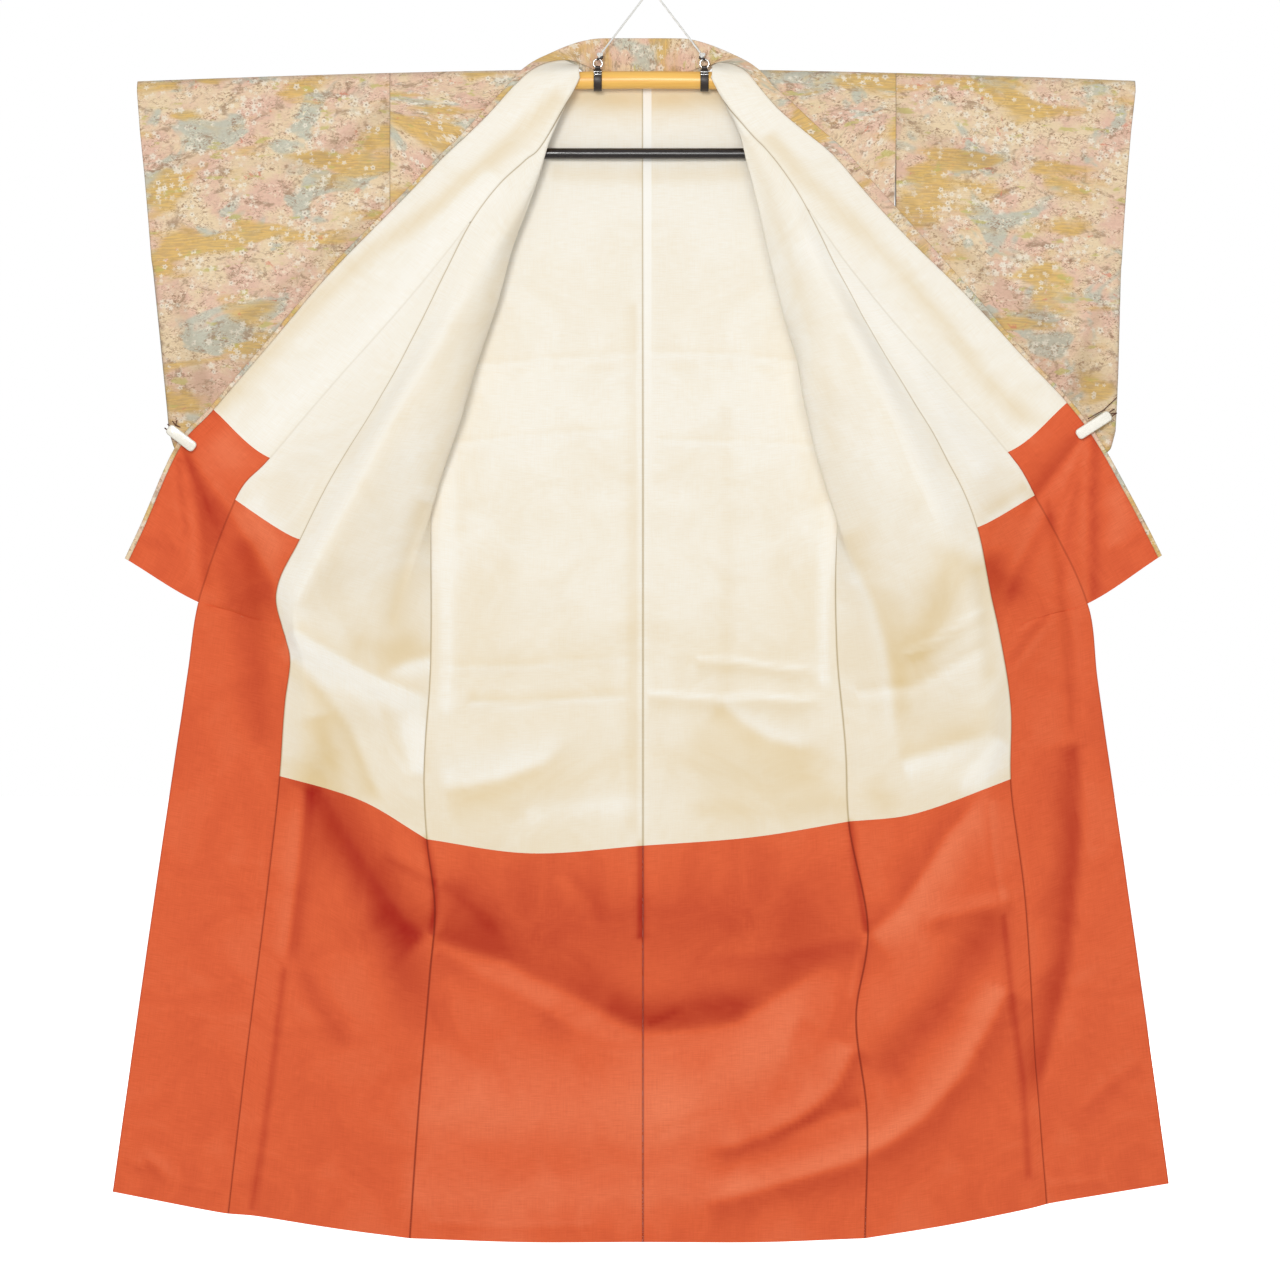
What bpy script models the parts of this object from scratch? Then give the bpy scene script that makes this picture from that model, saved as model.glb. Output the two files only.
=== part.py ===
"""A lined kimono hung open on a wooden rod, lining to the front.

Lengths in the tables are millimetres in the garment's own frame: the origin is the middle of the rod's
axis, x runs to the viewer's right, y away from the viewer and z up. The viewer looks at the inside of the
garment. "Left" and "right" are the viewer's. A level is a height in the cloth, about centimetres above
the hem along its threads, so one level crosses every panel at one weft thread.
"""

import math

import bmesh
import bpy
import numpy as np
from mathutils import Matrix, Vector

MM = 0.001

# Cloth
CLOTH = 1.0  # wall of one layer of silk
PLY_GAP = 0.3  # between two layers that lie on each other
SEAM_HALF_GAP = 0.15  # each panel stops this far from its seam line
LINING_OUT = CLOTH + PLY_GAP  # from the outer face to the near face of the lining
FLAP_OUT = 4.4  # from the outer face to the far face of the folded collar
MITRED_BEND = 0.75  # cosine of half the turn at which a mitre is fullest
FOLDED_BEND = 0.5  # and from which the bend is a fold, with no mitre
SLEEVE_CLOTH = 2.0
COLLAR_CLEAR = 1.6  # the collar lies this far in front of the body where it turns over the rod

# Levels
SHOULDER = 155.7  # where the cloth leaves the rod, in front and behind
KENSAKI = 137.0  # the point of the overlap panel, where it meets the collar
COLLAR_END = 80.0
HEM_LINING_TOP = 60.0  # body panels
OVERLAP_LINING_TOP = 92.0
COLLAR_LINING_END = 103.0
SEAM_OPENS = 100.0  # the front folds over the back above this level
SEAM_FLAT = 84.0  # the front runs on from the back below this one
SEAM_STEP = 2.45  # half the distance between front and back where they are folded together
OVERLAP_TIP = 136.2  # the overlap panel ends in a point a few millimetres wide
LEVELS = (
    0, 10, 22, 34, 46, 60, 68, 76, 80, 84, 88, 92, 98, 103, 110, 117, 124, 131, OVERLAP_TIP, KENSAKI, 143,
    148, 150, 152, 154, SHOULDER,
)
LEVEL_STEP = 0.4  # for the direction up the cloth
TIP_STARTS = 115.0  # above this the overlap panel narrows to its tip

# Hanging gear
ROD_RADIUS = 12.0
ROD_HALF_LENGTH = 655.0
ROD_DROOP = 16.0  # the rod's ends hang this much lower than its middle
DROOP_POWER = 1.6
ROD_CLOTH_RADIUS = 15.3  # outer face of the cloth where it goes over the rod
ROD_STEPS = 6
RING_AT = (11.0, 0.0, 124.0)  # centre of the hang ring
CLAMP_SPREAD = 72.0  # each clamp is this far to the side of the ring
CLAMP_RADIUS = 15.0
CLAMP_WIDTH = 11.0
CLAMP_CORNER = 0.8
RING_RADIUS, RING_WIRE = 9.0, 1.8
EYE_RADIUS, EYE_WIRE = 6.0, 1.2
EYE_HEIGHT = CLAMP_RADIUS + PLY_GAP + EYE_RADIUS + EYE_WIRE
KNOT_RADIUS = 4.4
KNOT_HEIGHT = 34.0
KNOT_ASIDE = 3.0  # each knot sits this much nearer to the ring than its eye does
CORD_RADIUS = 1.3
CORD_CLEAR = 0.2  # from the cord's end to the ring
BAR_RADIUS = 7.5
BAR_HALF_LENGTH = 182.0
BAR_AT = (4.0, -99.0)  # y, z
LINK_X = 158.0
LINK_RADIUS = 2.0

# Each clip: the outer and inner end of its front bar, x and z, and how far its band runs past the bar
CLIPS = {
    "left": ((-640, -470), (-604, -498), 12.5),
    "right": ((630, -452), (585, -481), 20.0),
}
CLIP_WIDTH = 15.0
CLIP_BAR = 4.6
CLIP_BAND = 1.4
CLIP_FRONT = -15.2  # y of the front bar's inner face
CLIP_BACK = 7.0  # y of the back bar's inner face
CLIP_BACK_SHARE = 0.8  # the back bar's length over the front bar's

# Guide lines of the panels: level, x, y, z. Each runs up the cloth, from the hem to the rod.
LEFT = {
    "back": (
        (0, -160, 13, -1570), (20, -160, 12, -1392), (46, -160, 12, -1168), (60, -160, 12, -1044),
        (84, -160, 13, -780), (113, -170, 14, -460), (137, -180, 15, -200), (SHOULDER, -190, 15.3, -2),
    ),
    "side": (
        (0, -315, 4, -1564), (20, -303, 3, -1388), (40, -288, 1, -1210), (50, -281, 0, -1118),
        (60, -292, 2, -1025), (70, -296, 3, -935), (84, -287, 2, -780), (92, -287, 1, -672),
        (103, -291, 0, -545), (113, -306, 0, -440), (124, -326, 0, -330), (137, -340, 0, -196),
        (148, -341, 0, -86), (SHOULDER, -341, 0, -5.5),
    ),
    "fold": (
        (0, -409, -2, -1551), (20, -400, -6, -1370), (46, -388, -9, -1120), (60, -381, -12, -972),
        (70, -374, -15, -885), (76, -362, -17, -830), (84, -338, -18, -748), (92, -313, -18, -660),
        (98, -292, -18, -600), (103, -276, -19, -543), (113, -243, -20, -440), (124, -210, -21, -335),
        (131, -195, -21, -288), (137, -178, -20, -228), (143, -157, -19, -172), (148, -139, -18, -122),
        (152, -124, -17, -72), (154, -106, -15.8, -34), (SHOULDER, -95, -15.3, 0),
    ),
    "crease": (
        (0, -528, -20, -1531), (20, -505, -17, -1350), (46, -466, -20, -1078), (60, -455, -28, -948),
        (70, -452, -38, -854), (76, -458, -46, -783), (84, -468, -58, -712), (92, -423, -66, -625),
        (103, -371, -66, -528), (113, -321, -61, -435), (124, -269, -54, -345), (131, -229, -46, -284),
        (137, -193, -39, -224), (143, -171, -31, -186), (148, -149, -25, -138), (152, -128, -20, -82),
        (154, -107, -18.5, -36), (SHOULDER, -90.5, -15.3, 0),
    ),
    "seam": (
        (0, -559, -16, -1529), (20, -536, -14, -1329), (46, -504, -16, -1072), (60, -489, -23, -939),
        (70, -481, -33, -838), (76, -474, -41, -775), (80, -484, -46, -738), (84, -493, -50, -700),
        (92, -460, -52, -621), (103, -410, -49, -524), (113, -360, -45, -443), (124, -305, -41, -342),
        (131, -266, -37, -262), (137, -231, -33, -193), (143, -192, -28, -141), (148, -159, -24, -110),
        (152, -132, -20.5, -82), (154, -107, -21, -36), (SHOULDER, -86, -15.3, 0),
    ),
    "edge": (
        (0, -715, -9, -1500), (20, -687, -9, -1300), (46, -650, -10, -1043), (70, -614, -12, -804),
        (80, -599, -12, -705), (84, -588, -13, -668), (92, -549, -15, -567), (103, -502, -18, -511),
        (113, -421, -24, -416), (124, -333, -30, -318), (131, -279, -32, -254), (KENSAKI, -231, -33, -192),
    ),
    "collar": (
        (80, -697, -7, -647), (84, -679, -7, -609), (92, -633, -7.5, -504), (103, -582, -8.5, -443),
        (113, -510, -10.5, -360), (124, -419, -13, -254), (131, -362, -14.5, -196), (137, -311, -16, -145),
        (143, -271, -17, -103), (148, -239, -18, -72), (152, -212, -19, -43), (SHOULDER, -185, -19, -14),
    ),
}
RIGHT = {
    "back": (
        (0, 160, 13, -1570), (20, 160, 12, -1388), (46, 160, 12, -1150), (60, 160, 12, -1021),
        (84, 160, 13, -770), (113, 170, 14, -460), (137, 180, 15, -200), (SHOULDER, 190, 15.3, -2),
    ),
    "side": (
        (0, 300, 4, -1564), (20, 302, 3, -1388), (34, 288, 1, -1262), (46, 304, 0, -1150),
        (60, 278, 2, -1001), (70, 274, 3, -905), (84, 262, 2, -763), (92, 261, 1, -669),
        (103, 270, 0, -545), (113, 290, 0, -440), (124, 318, 0, -330), (137, 337, 0, -196),
        (148, 341, 0, -86), (SHOULDER, 341, 0, -5.5),
    ),
    "fold": (
        (0, 414, -2, -1545), (20, 396, -6, -1368), (46, 366, -9, -1132), (60, 354, -12, -993),
        (70, 354, -15, -885), (76, 345, -17, -831), (84, 316, -18, -756), (92, 285, -18, -668),
        (98, 266, -18, -604), (103, 247, -19, -545), (113, 222, -20, -440), (124, 203, -21, -350),
        (131, 189, -21, -298), (137, 171, -20, -229), (143, 156, -19, -164), (148, 142, -18, -112),
        (152, 128, -17, -64), (154, 112, -15.8, -32), (SHOULDER, 101, -15.3, 0),
    ),
    "crease": (
        (0, 524, -20, -1521), (20, 512, -17, -1344), (46, 478, -20, -1095), (60, 463, -28, -955),
        (70, 465, -38, -871), (76, 456, -46, -810), (84, 436, -58, -716), (92, 405, -66, -617),
        (103, 362, -66, -519), (113, 321, -61, -425), (124, 277, -54, -333), (131, 242, -46, -262),
        (137, 209, -39, -199), (143, 182, -31, -148), (148, 161, -25, -108), (152, 134, -20.5, -68),
        (154, 113, -18.5, -33), (SHOULDER, 97, -15.3, 0),
    ),
    "seam": (
        (0, 544, -16, -1516), (20, 529, -14, -1323), (46, 513, -16, -1085), (60, 495, -23, -943),
        (70, 494, -33, -843), (76, 486, -41, -787), (80, 478, -46, -746), (84, 468, -50, -700),
        (92, 448, -52, -605), (103, 408, -49, -513), (113, 362, -45, -434), (124, 309, -41, -346),
        (131, 263, -37, -262), (137, 221, -33, -176), (143, 190, -28, -126), (148, 165, -24, -94),
        (152, 139, -21, -66), (154, 113, -21, -33), (SHOULDER, 93, -15.3, 0),
    ),
    "edge": (
        (0, 709, -9, -1489), (20, 682, -9, -1292), (46, 646, -10, -1038), (70, 612, -12, -805),
        (80, 599, -12, -707), (84, 582, -13, -664), (92, 528, -15, -561), (103, 491, -18, -503),
        (113, 421, -24, -423), (124, 346, -30, -338), (131, 283, -32, -262), (KENSAKI, 222, -33, -177),
    ),
    "collar": (
        (80, 698, -7, -643), (84, 679, -7, -605), (92, 624, -7.5, -504), (103, 574, -8.5, -434),
        (113, 509, -10.5, -365), (124, 428, -13, -272), (131, 367, -14.5, -205), (137, 308, -16, -140),
        (143, 271, -17, -98), (148, 232, -18, -64), (152, 200, -19, -34), (SHOULDER, 172, -19, -8),
    ),
}
BACK_CENTRE = (
    (0, 0, 15, -1570), (20, 0, 14, -1390), (46, 0, 13, -1164), (60, 0, 14, -1034),
    (84, 0, 15, -776), (113, 0, 17, -460), (137, 0, 19, -200), (SHOULDER, 0, 20.3, 0),
)
# The collar from the rod to the middle of the back of the neck. Each row has its seam point and its fold
# point, x, y and z, as for the left side, and the width of the flap that is folded in, left and right.
NECK = (
    # seam               fold                  flap left, right
    ((-86, -12.6, 12.2), (-171, -18, 2), 12, 22),
    ((-86, -3, 17.2), (-157, -10, 15), 16, 24),
    ((-86.5, 5, 17.6), (-143, -1, 25), 20, 26),
    ((-86, 10, 16.5), (-124, 8, 35), 22, 24),
    ((-84, 14, 14), (-102, 15, 45), 24, 24),
    ((-76, 17.5, 9.5), (-83, 18.5, 51.5), 32, 32),
    ((-62, 20, 5), (-66, 20.5, 55), 42, 42),
    ((-30, 21.8, 1.2), (-33, 22.5, 56), 49, 49),
)
NECK_RIGHT_SHIFTS = (7, -7)  # of the seam and of the fold, at the neck point
NECK_LINING_ROWS = 4  # the collar's lining goes this many rows past the rod
NECK_CORNER = {-1: (-66, 18.2, 4.2), 1: (90, 17, 6)}  # where the top of the back leaves the rod
NECK_MIDDLE = ((0, 22.2, 0.4), (0, 23, 56), 50, 50)
# Width of the folded flap on the opened fronts: level, left, right.
FLAP = (
    (80, 4, 4), (110, 4, 4), (117, 4, 5), (124, 4, 9), (131, 4, 15), (148, 5, 17), (SHOULDER, 8, 20),
)
# Outer side of each sleeve: z, distance from the centre on the left, and on the right.
SLEEVE_SIDE = (
    (-6, 682, 664), (-60, 678, 658), (-120, 672, 653), (-180, 667, 649), (-232, 663, 646),
    (-300, 656, 644), (-380, 648, 642), (-430, 643, 640), (-465, 640, 638), (-488, 633, 632), (-500, 620, 621),
)
SLEEVE_LENGTH = 500.0
SLEEVE_BOTTOM_HALF_DEPTH = 5.0
SEAM_NARROWS, SEAM_NARROWED = -215.0, -360.0  # heights between which the armhole's seam closes
SLEEVE_COLUMNS = 5
CUFF_DEPTH = 232.0
ARMHOLE = 341.0

# Columns of each panel, between its guide lines
OVERLAP_COLUMNS = 3
COLLAR_COLUMNS = 3
NECK_TO_CENTRE_COLUMNS = 2

COLOURS = {
    # name: base colour, roughness, metallic
    "silk": ((0.48, 0.36, 0.25), 0.75, 0.0),
    "cream": ((0.93, 0.88, 0.74), 0.6, 0.0),
    "orange": ((0.70, 0.12, 0.05), 0.55, 0.0),
    "wood": ((0.85, 0.55, 0.22), 0.45, 0.0),
    "black": ((0.03, 0.025, 0.03), 0.35, 0.0),
    "steel": ((0.6, 0.6, 0.6), 0.3, 1.0),
    "cord": ((0.85, 0.85, 0.82), 0.8, 0.0),
    "white": ((0.85, 0.84, 0.80), 0.4, 0.0),
}


def clear_scene():
    for obj in list(bpy.data.objects):
        bpy.data.objects.remove(obj, do_unlink=True)


def make_material(name):
    colour, roughness, metallic = COLOURS[name]
    material = bpy.data.materials.new(name)
    material.use_nodes = True
    shader = material.node_tree.nodes["Principled BSDF"]
    shader.inputs["Base Color"].default_value = (*colour, 1)
    shader.inputs["Roughness"].default_value = roughness
    shader.inputs["Metallic"].default_value = metallic
    return material


# Curves through the tables


def slopes_of(points, knots):
    """Slope at each knot, from its two neighbours, the nearer one counting more."""
    return np.gradient(points, knots, axis=0)


def hermite(start, end, start_slope, end_slope, share):
    """Point on the cubic from start to end, whose slopes are already scaled to the span."""
    s2, s3 = share * share, share**3
    return (
        start * (2 * s3 - 3 * s2 + 1)
        + start_slope * (s3 - 2 * s2 + share)
        + end * (3 * s2 - 2 * s3)
        + end_slope * (s3 - s2)
    )


def on_guide(rows, level):
    """Values of a table at a level, on a smooth curve through its rows."""
    table = np.array(rows, float)
    knots, values = table[:, 0], table[:, 1:]
    level = min(max(level, knots[0]), knots[-1])
    i = int(np.clip(np.searchsorted(knots, level) - 1, 0, len(knots) - 2))
    span = knots[i + 1] - knots[i]
    slope = slopes_of(values, knots) * span
    return hermite(values[i], values[i + 1], slope[i], slope[i + 1], (level - knots[i]) / span)


def on_row(points, spot):
    """Point on the smooth line through a row's guide points. A spot of 1.5 is halfway from the second
    point to the third. A long stretch isn't thrown wide by a tight bend next to it."""
    lengths = np.linalg.norm(np.diff(points, axis=0), axis=1)
    along = np.concatenate([[0], np.cumsum(lengths)])
    slope = slopes_of(points, along)
    unit = slope / np.linalg.norm(slope, axis=1)[:, None]
    reach = np.minimum(np.append(lengths, np.inf), np.insert(lengths, 0, np.inf))
    i = int(min(spot, len(lengths) - 1))
    share = spot - i
    start = unit[i] * min(lengths[i], 1.5 * reach[i])
    end = unit[i + 1] * min(lengths[i], 1.5 * reach[i + 1])
    return hermite(points[i], points[i + 1], start, end, share)


def guides_of(side):
    return LEFT if side < 0 else RIGHT


def rod_axis(x):
    """Height of the rod's axis at x."""
    return -ROD_DROOP * (abs(x) / ROD_HALF_LENGTH) ** DROOP_POWER


def smooth_step(value, low, high):
    """From 0 at low to 1 at high."""
    share = min(max((value - low) / (high - low), 0.0), 1.0)
    return share * share * (3 - 2 * share)


def opened(level):
    """From 0, where front and back run on flat, to 1, where they are folded together."""
    return smooth_step(level, SEAM_FLAT, SEAM_OPENS)


def sleeve_depth(z):
    """Half the distance between a sleeve's front and back, which come together towards its bottom."""
    return ROD_CLOTH_RADIUS + (ROD_CLOTH_RADIUS - SLEEVE_BOTTOM_HALF_DEPTH) * z / SLEEVE_LENGTH


def side_depth(z):
    """Half the distance between front and back at the armhole, which narrows below the sleeve's seam."""
    share = min(max((z - SEAM_NARROWED) / (SEAM_NARROWS - SEAM_NARROWED), 0.0), 1.0)
    return SEAM_STEP + (sleeve_depth(z) - SEAM_STEP) * share


def side_point(side, level, front):
    """The side seam, which the front reaches from the viewer's side and the back from behind."""
    point = on_guide(guides_of(side)["side"], level)
    step = side_depth(point[2]) * opened(level)
    point[1] += -step if front else step
    return point


def front_row(side, level):
    """The guide points of a front at a level, from the side seam to the edge of the collar."""
    guides = guides_of(side)
    row = [side_point(side, level, True)]
    row += [on_guide(guides[name], level) for name in ("fold", "crease", "seam")]
    if level < KENSAKI:
        row.append(on_guide(guides["edge"], level))
    if level >= COLLAR_END:
        row.append(on_guide(guides["collar"], level))
    return np.array(row)


def back_row(side, level):
    """The guide points of the back at a level, from the side seam past the centre."""
    return np.array([
        side_point(side, level, False),
        on_guide(guides_of(side)["back"], level),
        on_guide(BACK_CENTRE, level),
        on_guide(guides_of(-side)["back"], level),
    ])


def steps(start, end, count):
    return list(np.linspace(start, end, count + 1))


# The fronts' columns are numbered along front_row: 0 side, 1 fold, 2 crease, 3 seam, 4 edge, 5 collar
BODY_SPOTS = (0, 0.35, 0.7, 0.93, 1, 1.08, 1.5, 2, 2.5, 3)


def back_share(side, spot):
    """Where a column of the front that goes over the rod runs down the back, from 0 side to 1 centre."""
    at_rod = front_row(side, SHOULDER)
    x = on_row(at_rod, spot)[0]
    return (x - at_rod[0][0]) / (0 - at_rod[0][0])


def back_point(side, level, share):
    """Point of the back at a level, at a share of the way from its side to its centre."""
    row = back_row(side, level)
    lengths = np.linalg.norm(np.diff(row[:3], axis=0), axis=1)
    along = share * lengths.sum()
    if along <= lengths[0]:
        return on_row(row, along / lengths[0])
    return on_row(row, 1 + (along - lengths[0]) / lengths[1])


# Sheets: each is a grid of points, and of the directions from them to the lining's side


def normal_of(across, upward, turn):
    direction = np.cross(across, upward) * turn
    return direction / np.linalg.norm(direction)


def front_spots(level):
    """The columns of a whole front at a level, and where its overlap panel and its collar start in them."""
    spots, overlap = list(BODY_SPOTS), len(BODY_SPOTS) - 1
    if level < KENSAKI:
        spots += steps(3, 4, OVERLAP_COLUMNS)[1:]
    collar = len(spots) - 1
    if level >= COLLAR_END:
        spots += steps(spots[-1], spots[-1] + 1, COLLAR_COLUMNS)[1:]
    return spots, overlap, collar


def front_points(side, level, spots):
    """Points of a front's columns at a level. Towards the overlap panel's tip, the curves on either side
    of it pass it by."""
    row = front_row(side, level)
    points = [on_row(row, spot) for spot in spots]
    if not TIP_STARTS < level < KENSAKI:
        return points
    share = smooth_step(level, TIP_STARTS, KENSAKI)
    without_edge, without_seam = np.delete(row, 4, axis=0), np.delete(row, 3, axis=0)
    for k, spot in enumerate(spots):
        if spot < 3:
            points[k] += (on_row(without_edge, spot) - points[k]) * share
        if spot > 4:
            points[k] += (on_row(without_seam, spot - 1) - points[k]) * share
    return points


def front_line(side, level):
    """Points of a whole front at a level, the way up the cloth at each, and the way in from the back."""
    spots = front_spots(level)[0]
    limits = [0, COLLAR_END, KENSAKI, SHOULDER]
    lowest = max(limit for limit in limits[:3] if limit <= level)
    highest = min([limit - 0.01 for limit in limits[1:3] if limit > level] + [SHOULDER])
    places = (max(level - LEVEL_STEP, lowest), level, min(level + LEVEL_STEP, highest))
    below, here, above = (front_points(side, place, spots) for place in places)
    edge, beside = (back_point(side, level, share) for share in body_shares(side)[:2])
    return here, [high - low for low, high in zip(below, above)], edge - beside


def back_line(side, level):
    """Points of half the back at a level, from its side seam to its centre, the way up the cloth at each,
    and the way in from the front."""
    places = (max(level - LEVEL_STEP, 0), level, min(level + LEVEL_STEP, SHOULDER))
    below, here, above = ([back_point(side, place, share) for share in body_shares(side)] for place in places)
    edge, beside = (on_row(front_row(side, level), spot) for spot in BODY_SPOTS[:2])
    return here, [high - low for low, high in zip(below, above)], edge - beside


def samples_of(line, first, last, turn, lift=0.0):
    """One panel's columns of a line: each point with the direction of the wall there, which is longer at
    a bend, so that the wall keeps its thickness. A panel stops half a seam gap inside its edges. Two
    panels share the direction at their seam, but not where one is folded back on the other."""
    places, upwards, way_in = line
    ways = np.vstack([way_in, np.diff(places, axis=0)])
    ways /= np.linalg.norm(ways, axis=1)[:, None]
    samples = []
    for k in range(first, last + 1):
        before, after = ways[k], ways[min(k + 1, len(ways) - 1)]
        place = places[k] + upwards[k] / np.linalg.norm(upwards[k]) * lift
        if k in (first, last):
            own = ways[first + 1] if k == first else ways[last]
            place = place + own * SEAM_HALF_GAP * (1 if k == first else -1)
            if before @ after < 0:
                before = after = own
        across = before + after
        bend = np.linalg.norm(across) / 2
        mitre = np.interp(bend, (FOLDED_BEND, MITRED_BEND), (1, 1 / MITRED_BEND))
        if bend > MITRED_BEND:
            mitre = 1 / bend
        samples.append((place, normal_of(across, upwards[k], turn) * mitre))
    return samples


def body_shares(side):
    shares = [back_share(side, spot) for spot in BODY_SPOTS]
    return shares + steps(shares[-1], 1, NECK_TO_CENTRE_COLUMNS)[1:]


def body_front_rows(side, levels, lifts):
    last = len(BODY_SPOTS) - 1
    return [
        samples_of(front_line(side, level), 0, last, side, lift) for level, lift in zip(levels, lifts)
    ]


def back_rows(side, levels, lifts):
    last = len(body_shares(side)) - 1
    return [
        samples_of(back_line(side, level), 0, last, -side, lift) for level, lift in zip(levels, lifts)
    ]


def over_rod(side):
    """Rows that carry the body over the rod, from behind it to the front."""
    at_rod = front_row(side, SHOULDER)
    columns = [on_row(at_rod, spot)[0] for spot in BODY_SPOTS]
    columns[0] -= side * SEAM_HALF_GAP
    columns[-1] += side * SEAM_HALF_GAP
    rows = []
    for step in range(1, ROD_STEPS):
        angle = math.pi * step / ROD_STEPS
        outward = np.array((0.0, math.cos(angle), math.sin(angle)))
        rows.append([
            (np.array((x, 0, rod_axis(x))) + outward * ROD_CLOTH_RADIUS, -outward) for x in columns
        ])
    rows[0].append((np.array(NECK_CORNER[side], float), np.array((0.0, -1.0, 0.0))))
    return rows


def levels_between(low, high):
    return [low] + [level for level in LEVELS if low < level < high] + [high]


def lifts_for(levels, at_low, at_high):
    """Rows that end at a seam across the cloth stop half a seam gap inside it."""
    lifts = [0.0] * len(levels)
    lifts[0] = SEAM_HALF_GAP if at_low else 0.0
    lifts[-1] = -SEAM_HALF_GAP if at_high else 0.0
    return lifts


# Meshes


def add_faces(mesh, rows, flip):
    """Quads between rows of vertices. A shorter row ends early."""
    for low, high in zip(rows, rows[1:]):
        for a, b, c, d in zip(low, low[1:], high[1:], high):
            mesh.faces.new((a, d, c, b) if flip else (a, b, c, d))


def new_object(name, mesh, material, parent):
    """Object from a bmesh, in the garment's collection."""
    data = bpy.data.meshes.new(name)
    mesh.to_mesh(data)
    mesh.free()
    obj = bpy.data.objects.new(name, data)
    bpy.data.collections["kimono"].objects.link(obj)
    obj.parent = parent
    data.materials.append(material)
    data.shade_smooth()
    return obj


def wall(name, samples, near, far, material, parent):
    """A layer of cloth: a grid of (point, normal) moved out by two distances and closed round its rim.
    Neighbouring panels share their normals along a seam, so that their walls meet there."""
    mesh = bmesh.new()
    inner, outer = (
        [[mesh.verts.new(Vector(point + normal * out) * MM) for point, normal in row] for row in samples]
        for out in (near, far)
    )
    opposite = {a: b for low, high in zip(inner, outer) for a, b in zip(low, high)}
    add_faces(mesh, inner, False)
    rim = [edge for edge in mesh.edges if edge.is_boundary]
    add_faces(mesh, outer, True)
    for edge in rim:
        a, b = edge.verts
        mesh.faces.new((a, b, opposite[b], opposite[a]))
    bmesh.ops.recalc_face_normals(mesh, faces=mesh.faces)
    if mesh.calc_volume(signed=True) < 0:
        bmesh.ops.reverse_faces(mesh, faces=mesh.faces)
    return new_object(name, mesh, material, parent)


def outer_cloth(name, samples, material, parent):
    return wall(name, samples, 0, CLOTH, material, parent)


def lining(name, samples, material, parent):
    return wall(name, samples, LINING_OUT, LINING_OUT + CLOTH, material, parent)


def body_samples(side, low):
    """The body from its hem or its hem lining, up the back, over the rod and down the front."""
    levels = levels_between(low, SHOULDER)
    lifts = lifts_for(levels, low > 0, False)
    back = back_rows(side, levels, lifts)
    below_neck = samples_of(back_line(side, SHOULDER), 0, len(back[-1]) - 1, -side, -SEAM_HALF_GAP)
    back[-1][-NECK_TO_CENTRE_COLUMNS:] = below_neck[-NECK_TO_CENTRE_COLUMNS:]
    return back + over_rod(side) + body_front_rows(side, levels, lifts)[::-1]


def overlap_samples(side, low, high):
    levels = levels_between(low, high)
    rows = []
    for level, lift in zip(levels, lifts_for(levels, low > 0, high < OVERLAP_TIP)):
        _, first, last = front_spots(level)
        rows.append(samples_of(front_line(side, level), first, last, side, lift))
    return rows


def collar_rows(side, low, high):
    """Rows of the opened collar, from its seam to its fold, and the width of the folded flap at each."""
    rows, flaps = [], []
    for level in levels_between(low, high):
        spots, _, first = front_spots(level)
        row = samples_of(front_line(side, level), first, len(spots) - 1, side)
        forward = np.array((0.0, -COLLAR_CLEAR * max(0.0, (level - KENSAKI) / (SHOULDER - KENSAKI)), 0.0))
        rows.append([(point + forward, normal) for point, normal in row])
        flaps.append(on_guide(FLAP, level)[0 if side < 0 else 1])
    return rows, flaps


def neck_points(side):
    """Seam and fold points round the neck, with their flaps. The table is the left side's, and on the right
    its points move to that side's own neck point, the more the nearer they are to it."""
    seam_shift, fold_shift = (0, 0) if side < 0 else NECK_RIGHT_SHIFTS
    rows = []
    for seam, fold, *flaps in NECK:
        near = seam[0] / NECK[0][0][0]
        seam = np.array((-side * seam[0] + seam_shift * near, seam[1], seam[2]))
        fold = np.array((-side * fold[0] + fold_shift * near, fold[1], fold[2]))
        rows.append((seam, fold, flaps[0 if side < 0 else 1]))
    return rows


def neck_samples(side):
    """Rows of the collar from the rod to beside the middle of the neck, with their flaps."""
    stations = neck_points(side)
    middle = (np.array(NECK_MIDDLE[0], float), np.array(NECK_MIDDLE[1], float))
    ends = [(seam, fold) for seam, fold, _ in stations] + [middle]
    first = front_row(side, SHOULDER)[-2:]
    ends = [tuple(first)] + ends
    rows, flaps = [], []
    for i, (seam, fold, flap) in enumerate(stations, start=1):
        row = []
        for share in steps(0, 1, COLLAR_COLUMNS):
            before, here, after = (
                ends[k][0] + (ends[k][1] - ends[k][0]) * share for k in (i - 1, i, i + 1)
            )
            row.append((here, normal_of(fold - seam, after - before, side)))
        rows.append(row)
        flaps.append(flap)
    return rows, flaps


def middle_row():
    """The collar's row at the middle of the back of the neck."""
    seam, fold, flap, _ = NECK_MIDDLE
    seam, fold = np.array(seam, float), np.array(fold, float)
    towards_viewer = np.array((0.0, -1.0, 0.0))
    row = [(seam + (fold - seam) * share, towards_viewer) for share in steps(0, 1, COLLAR_COLUMNS)]
    return row, flap


def folded(row, flap):
    """A collar row's section, up its outer face, round the fold and back down the flap, which lies on the
    row's own points moved out. Each point has the direction to the cloth's inner face."""
    fold, normal = row[-1]
    down = row[-2][0] - fold
    down = down / np.linalg.norm(down)
    half = FLAP_OUT / 2
    section = row + [(fold - down * half + normal * half, down), (fold + normal * FLAP_OUT, -normal)]
    for distance in (flap / 3, flap * 2 / 3, flap):
        point, direction = back_along(row, distance)
        section.append((point + direction * FLAP_OUT, -direction))
    return section


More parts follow.
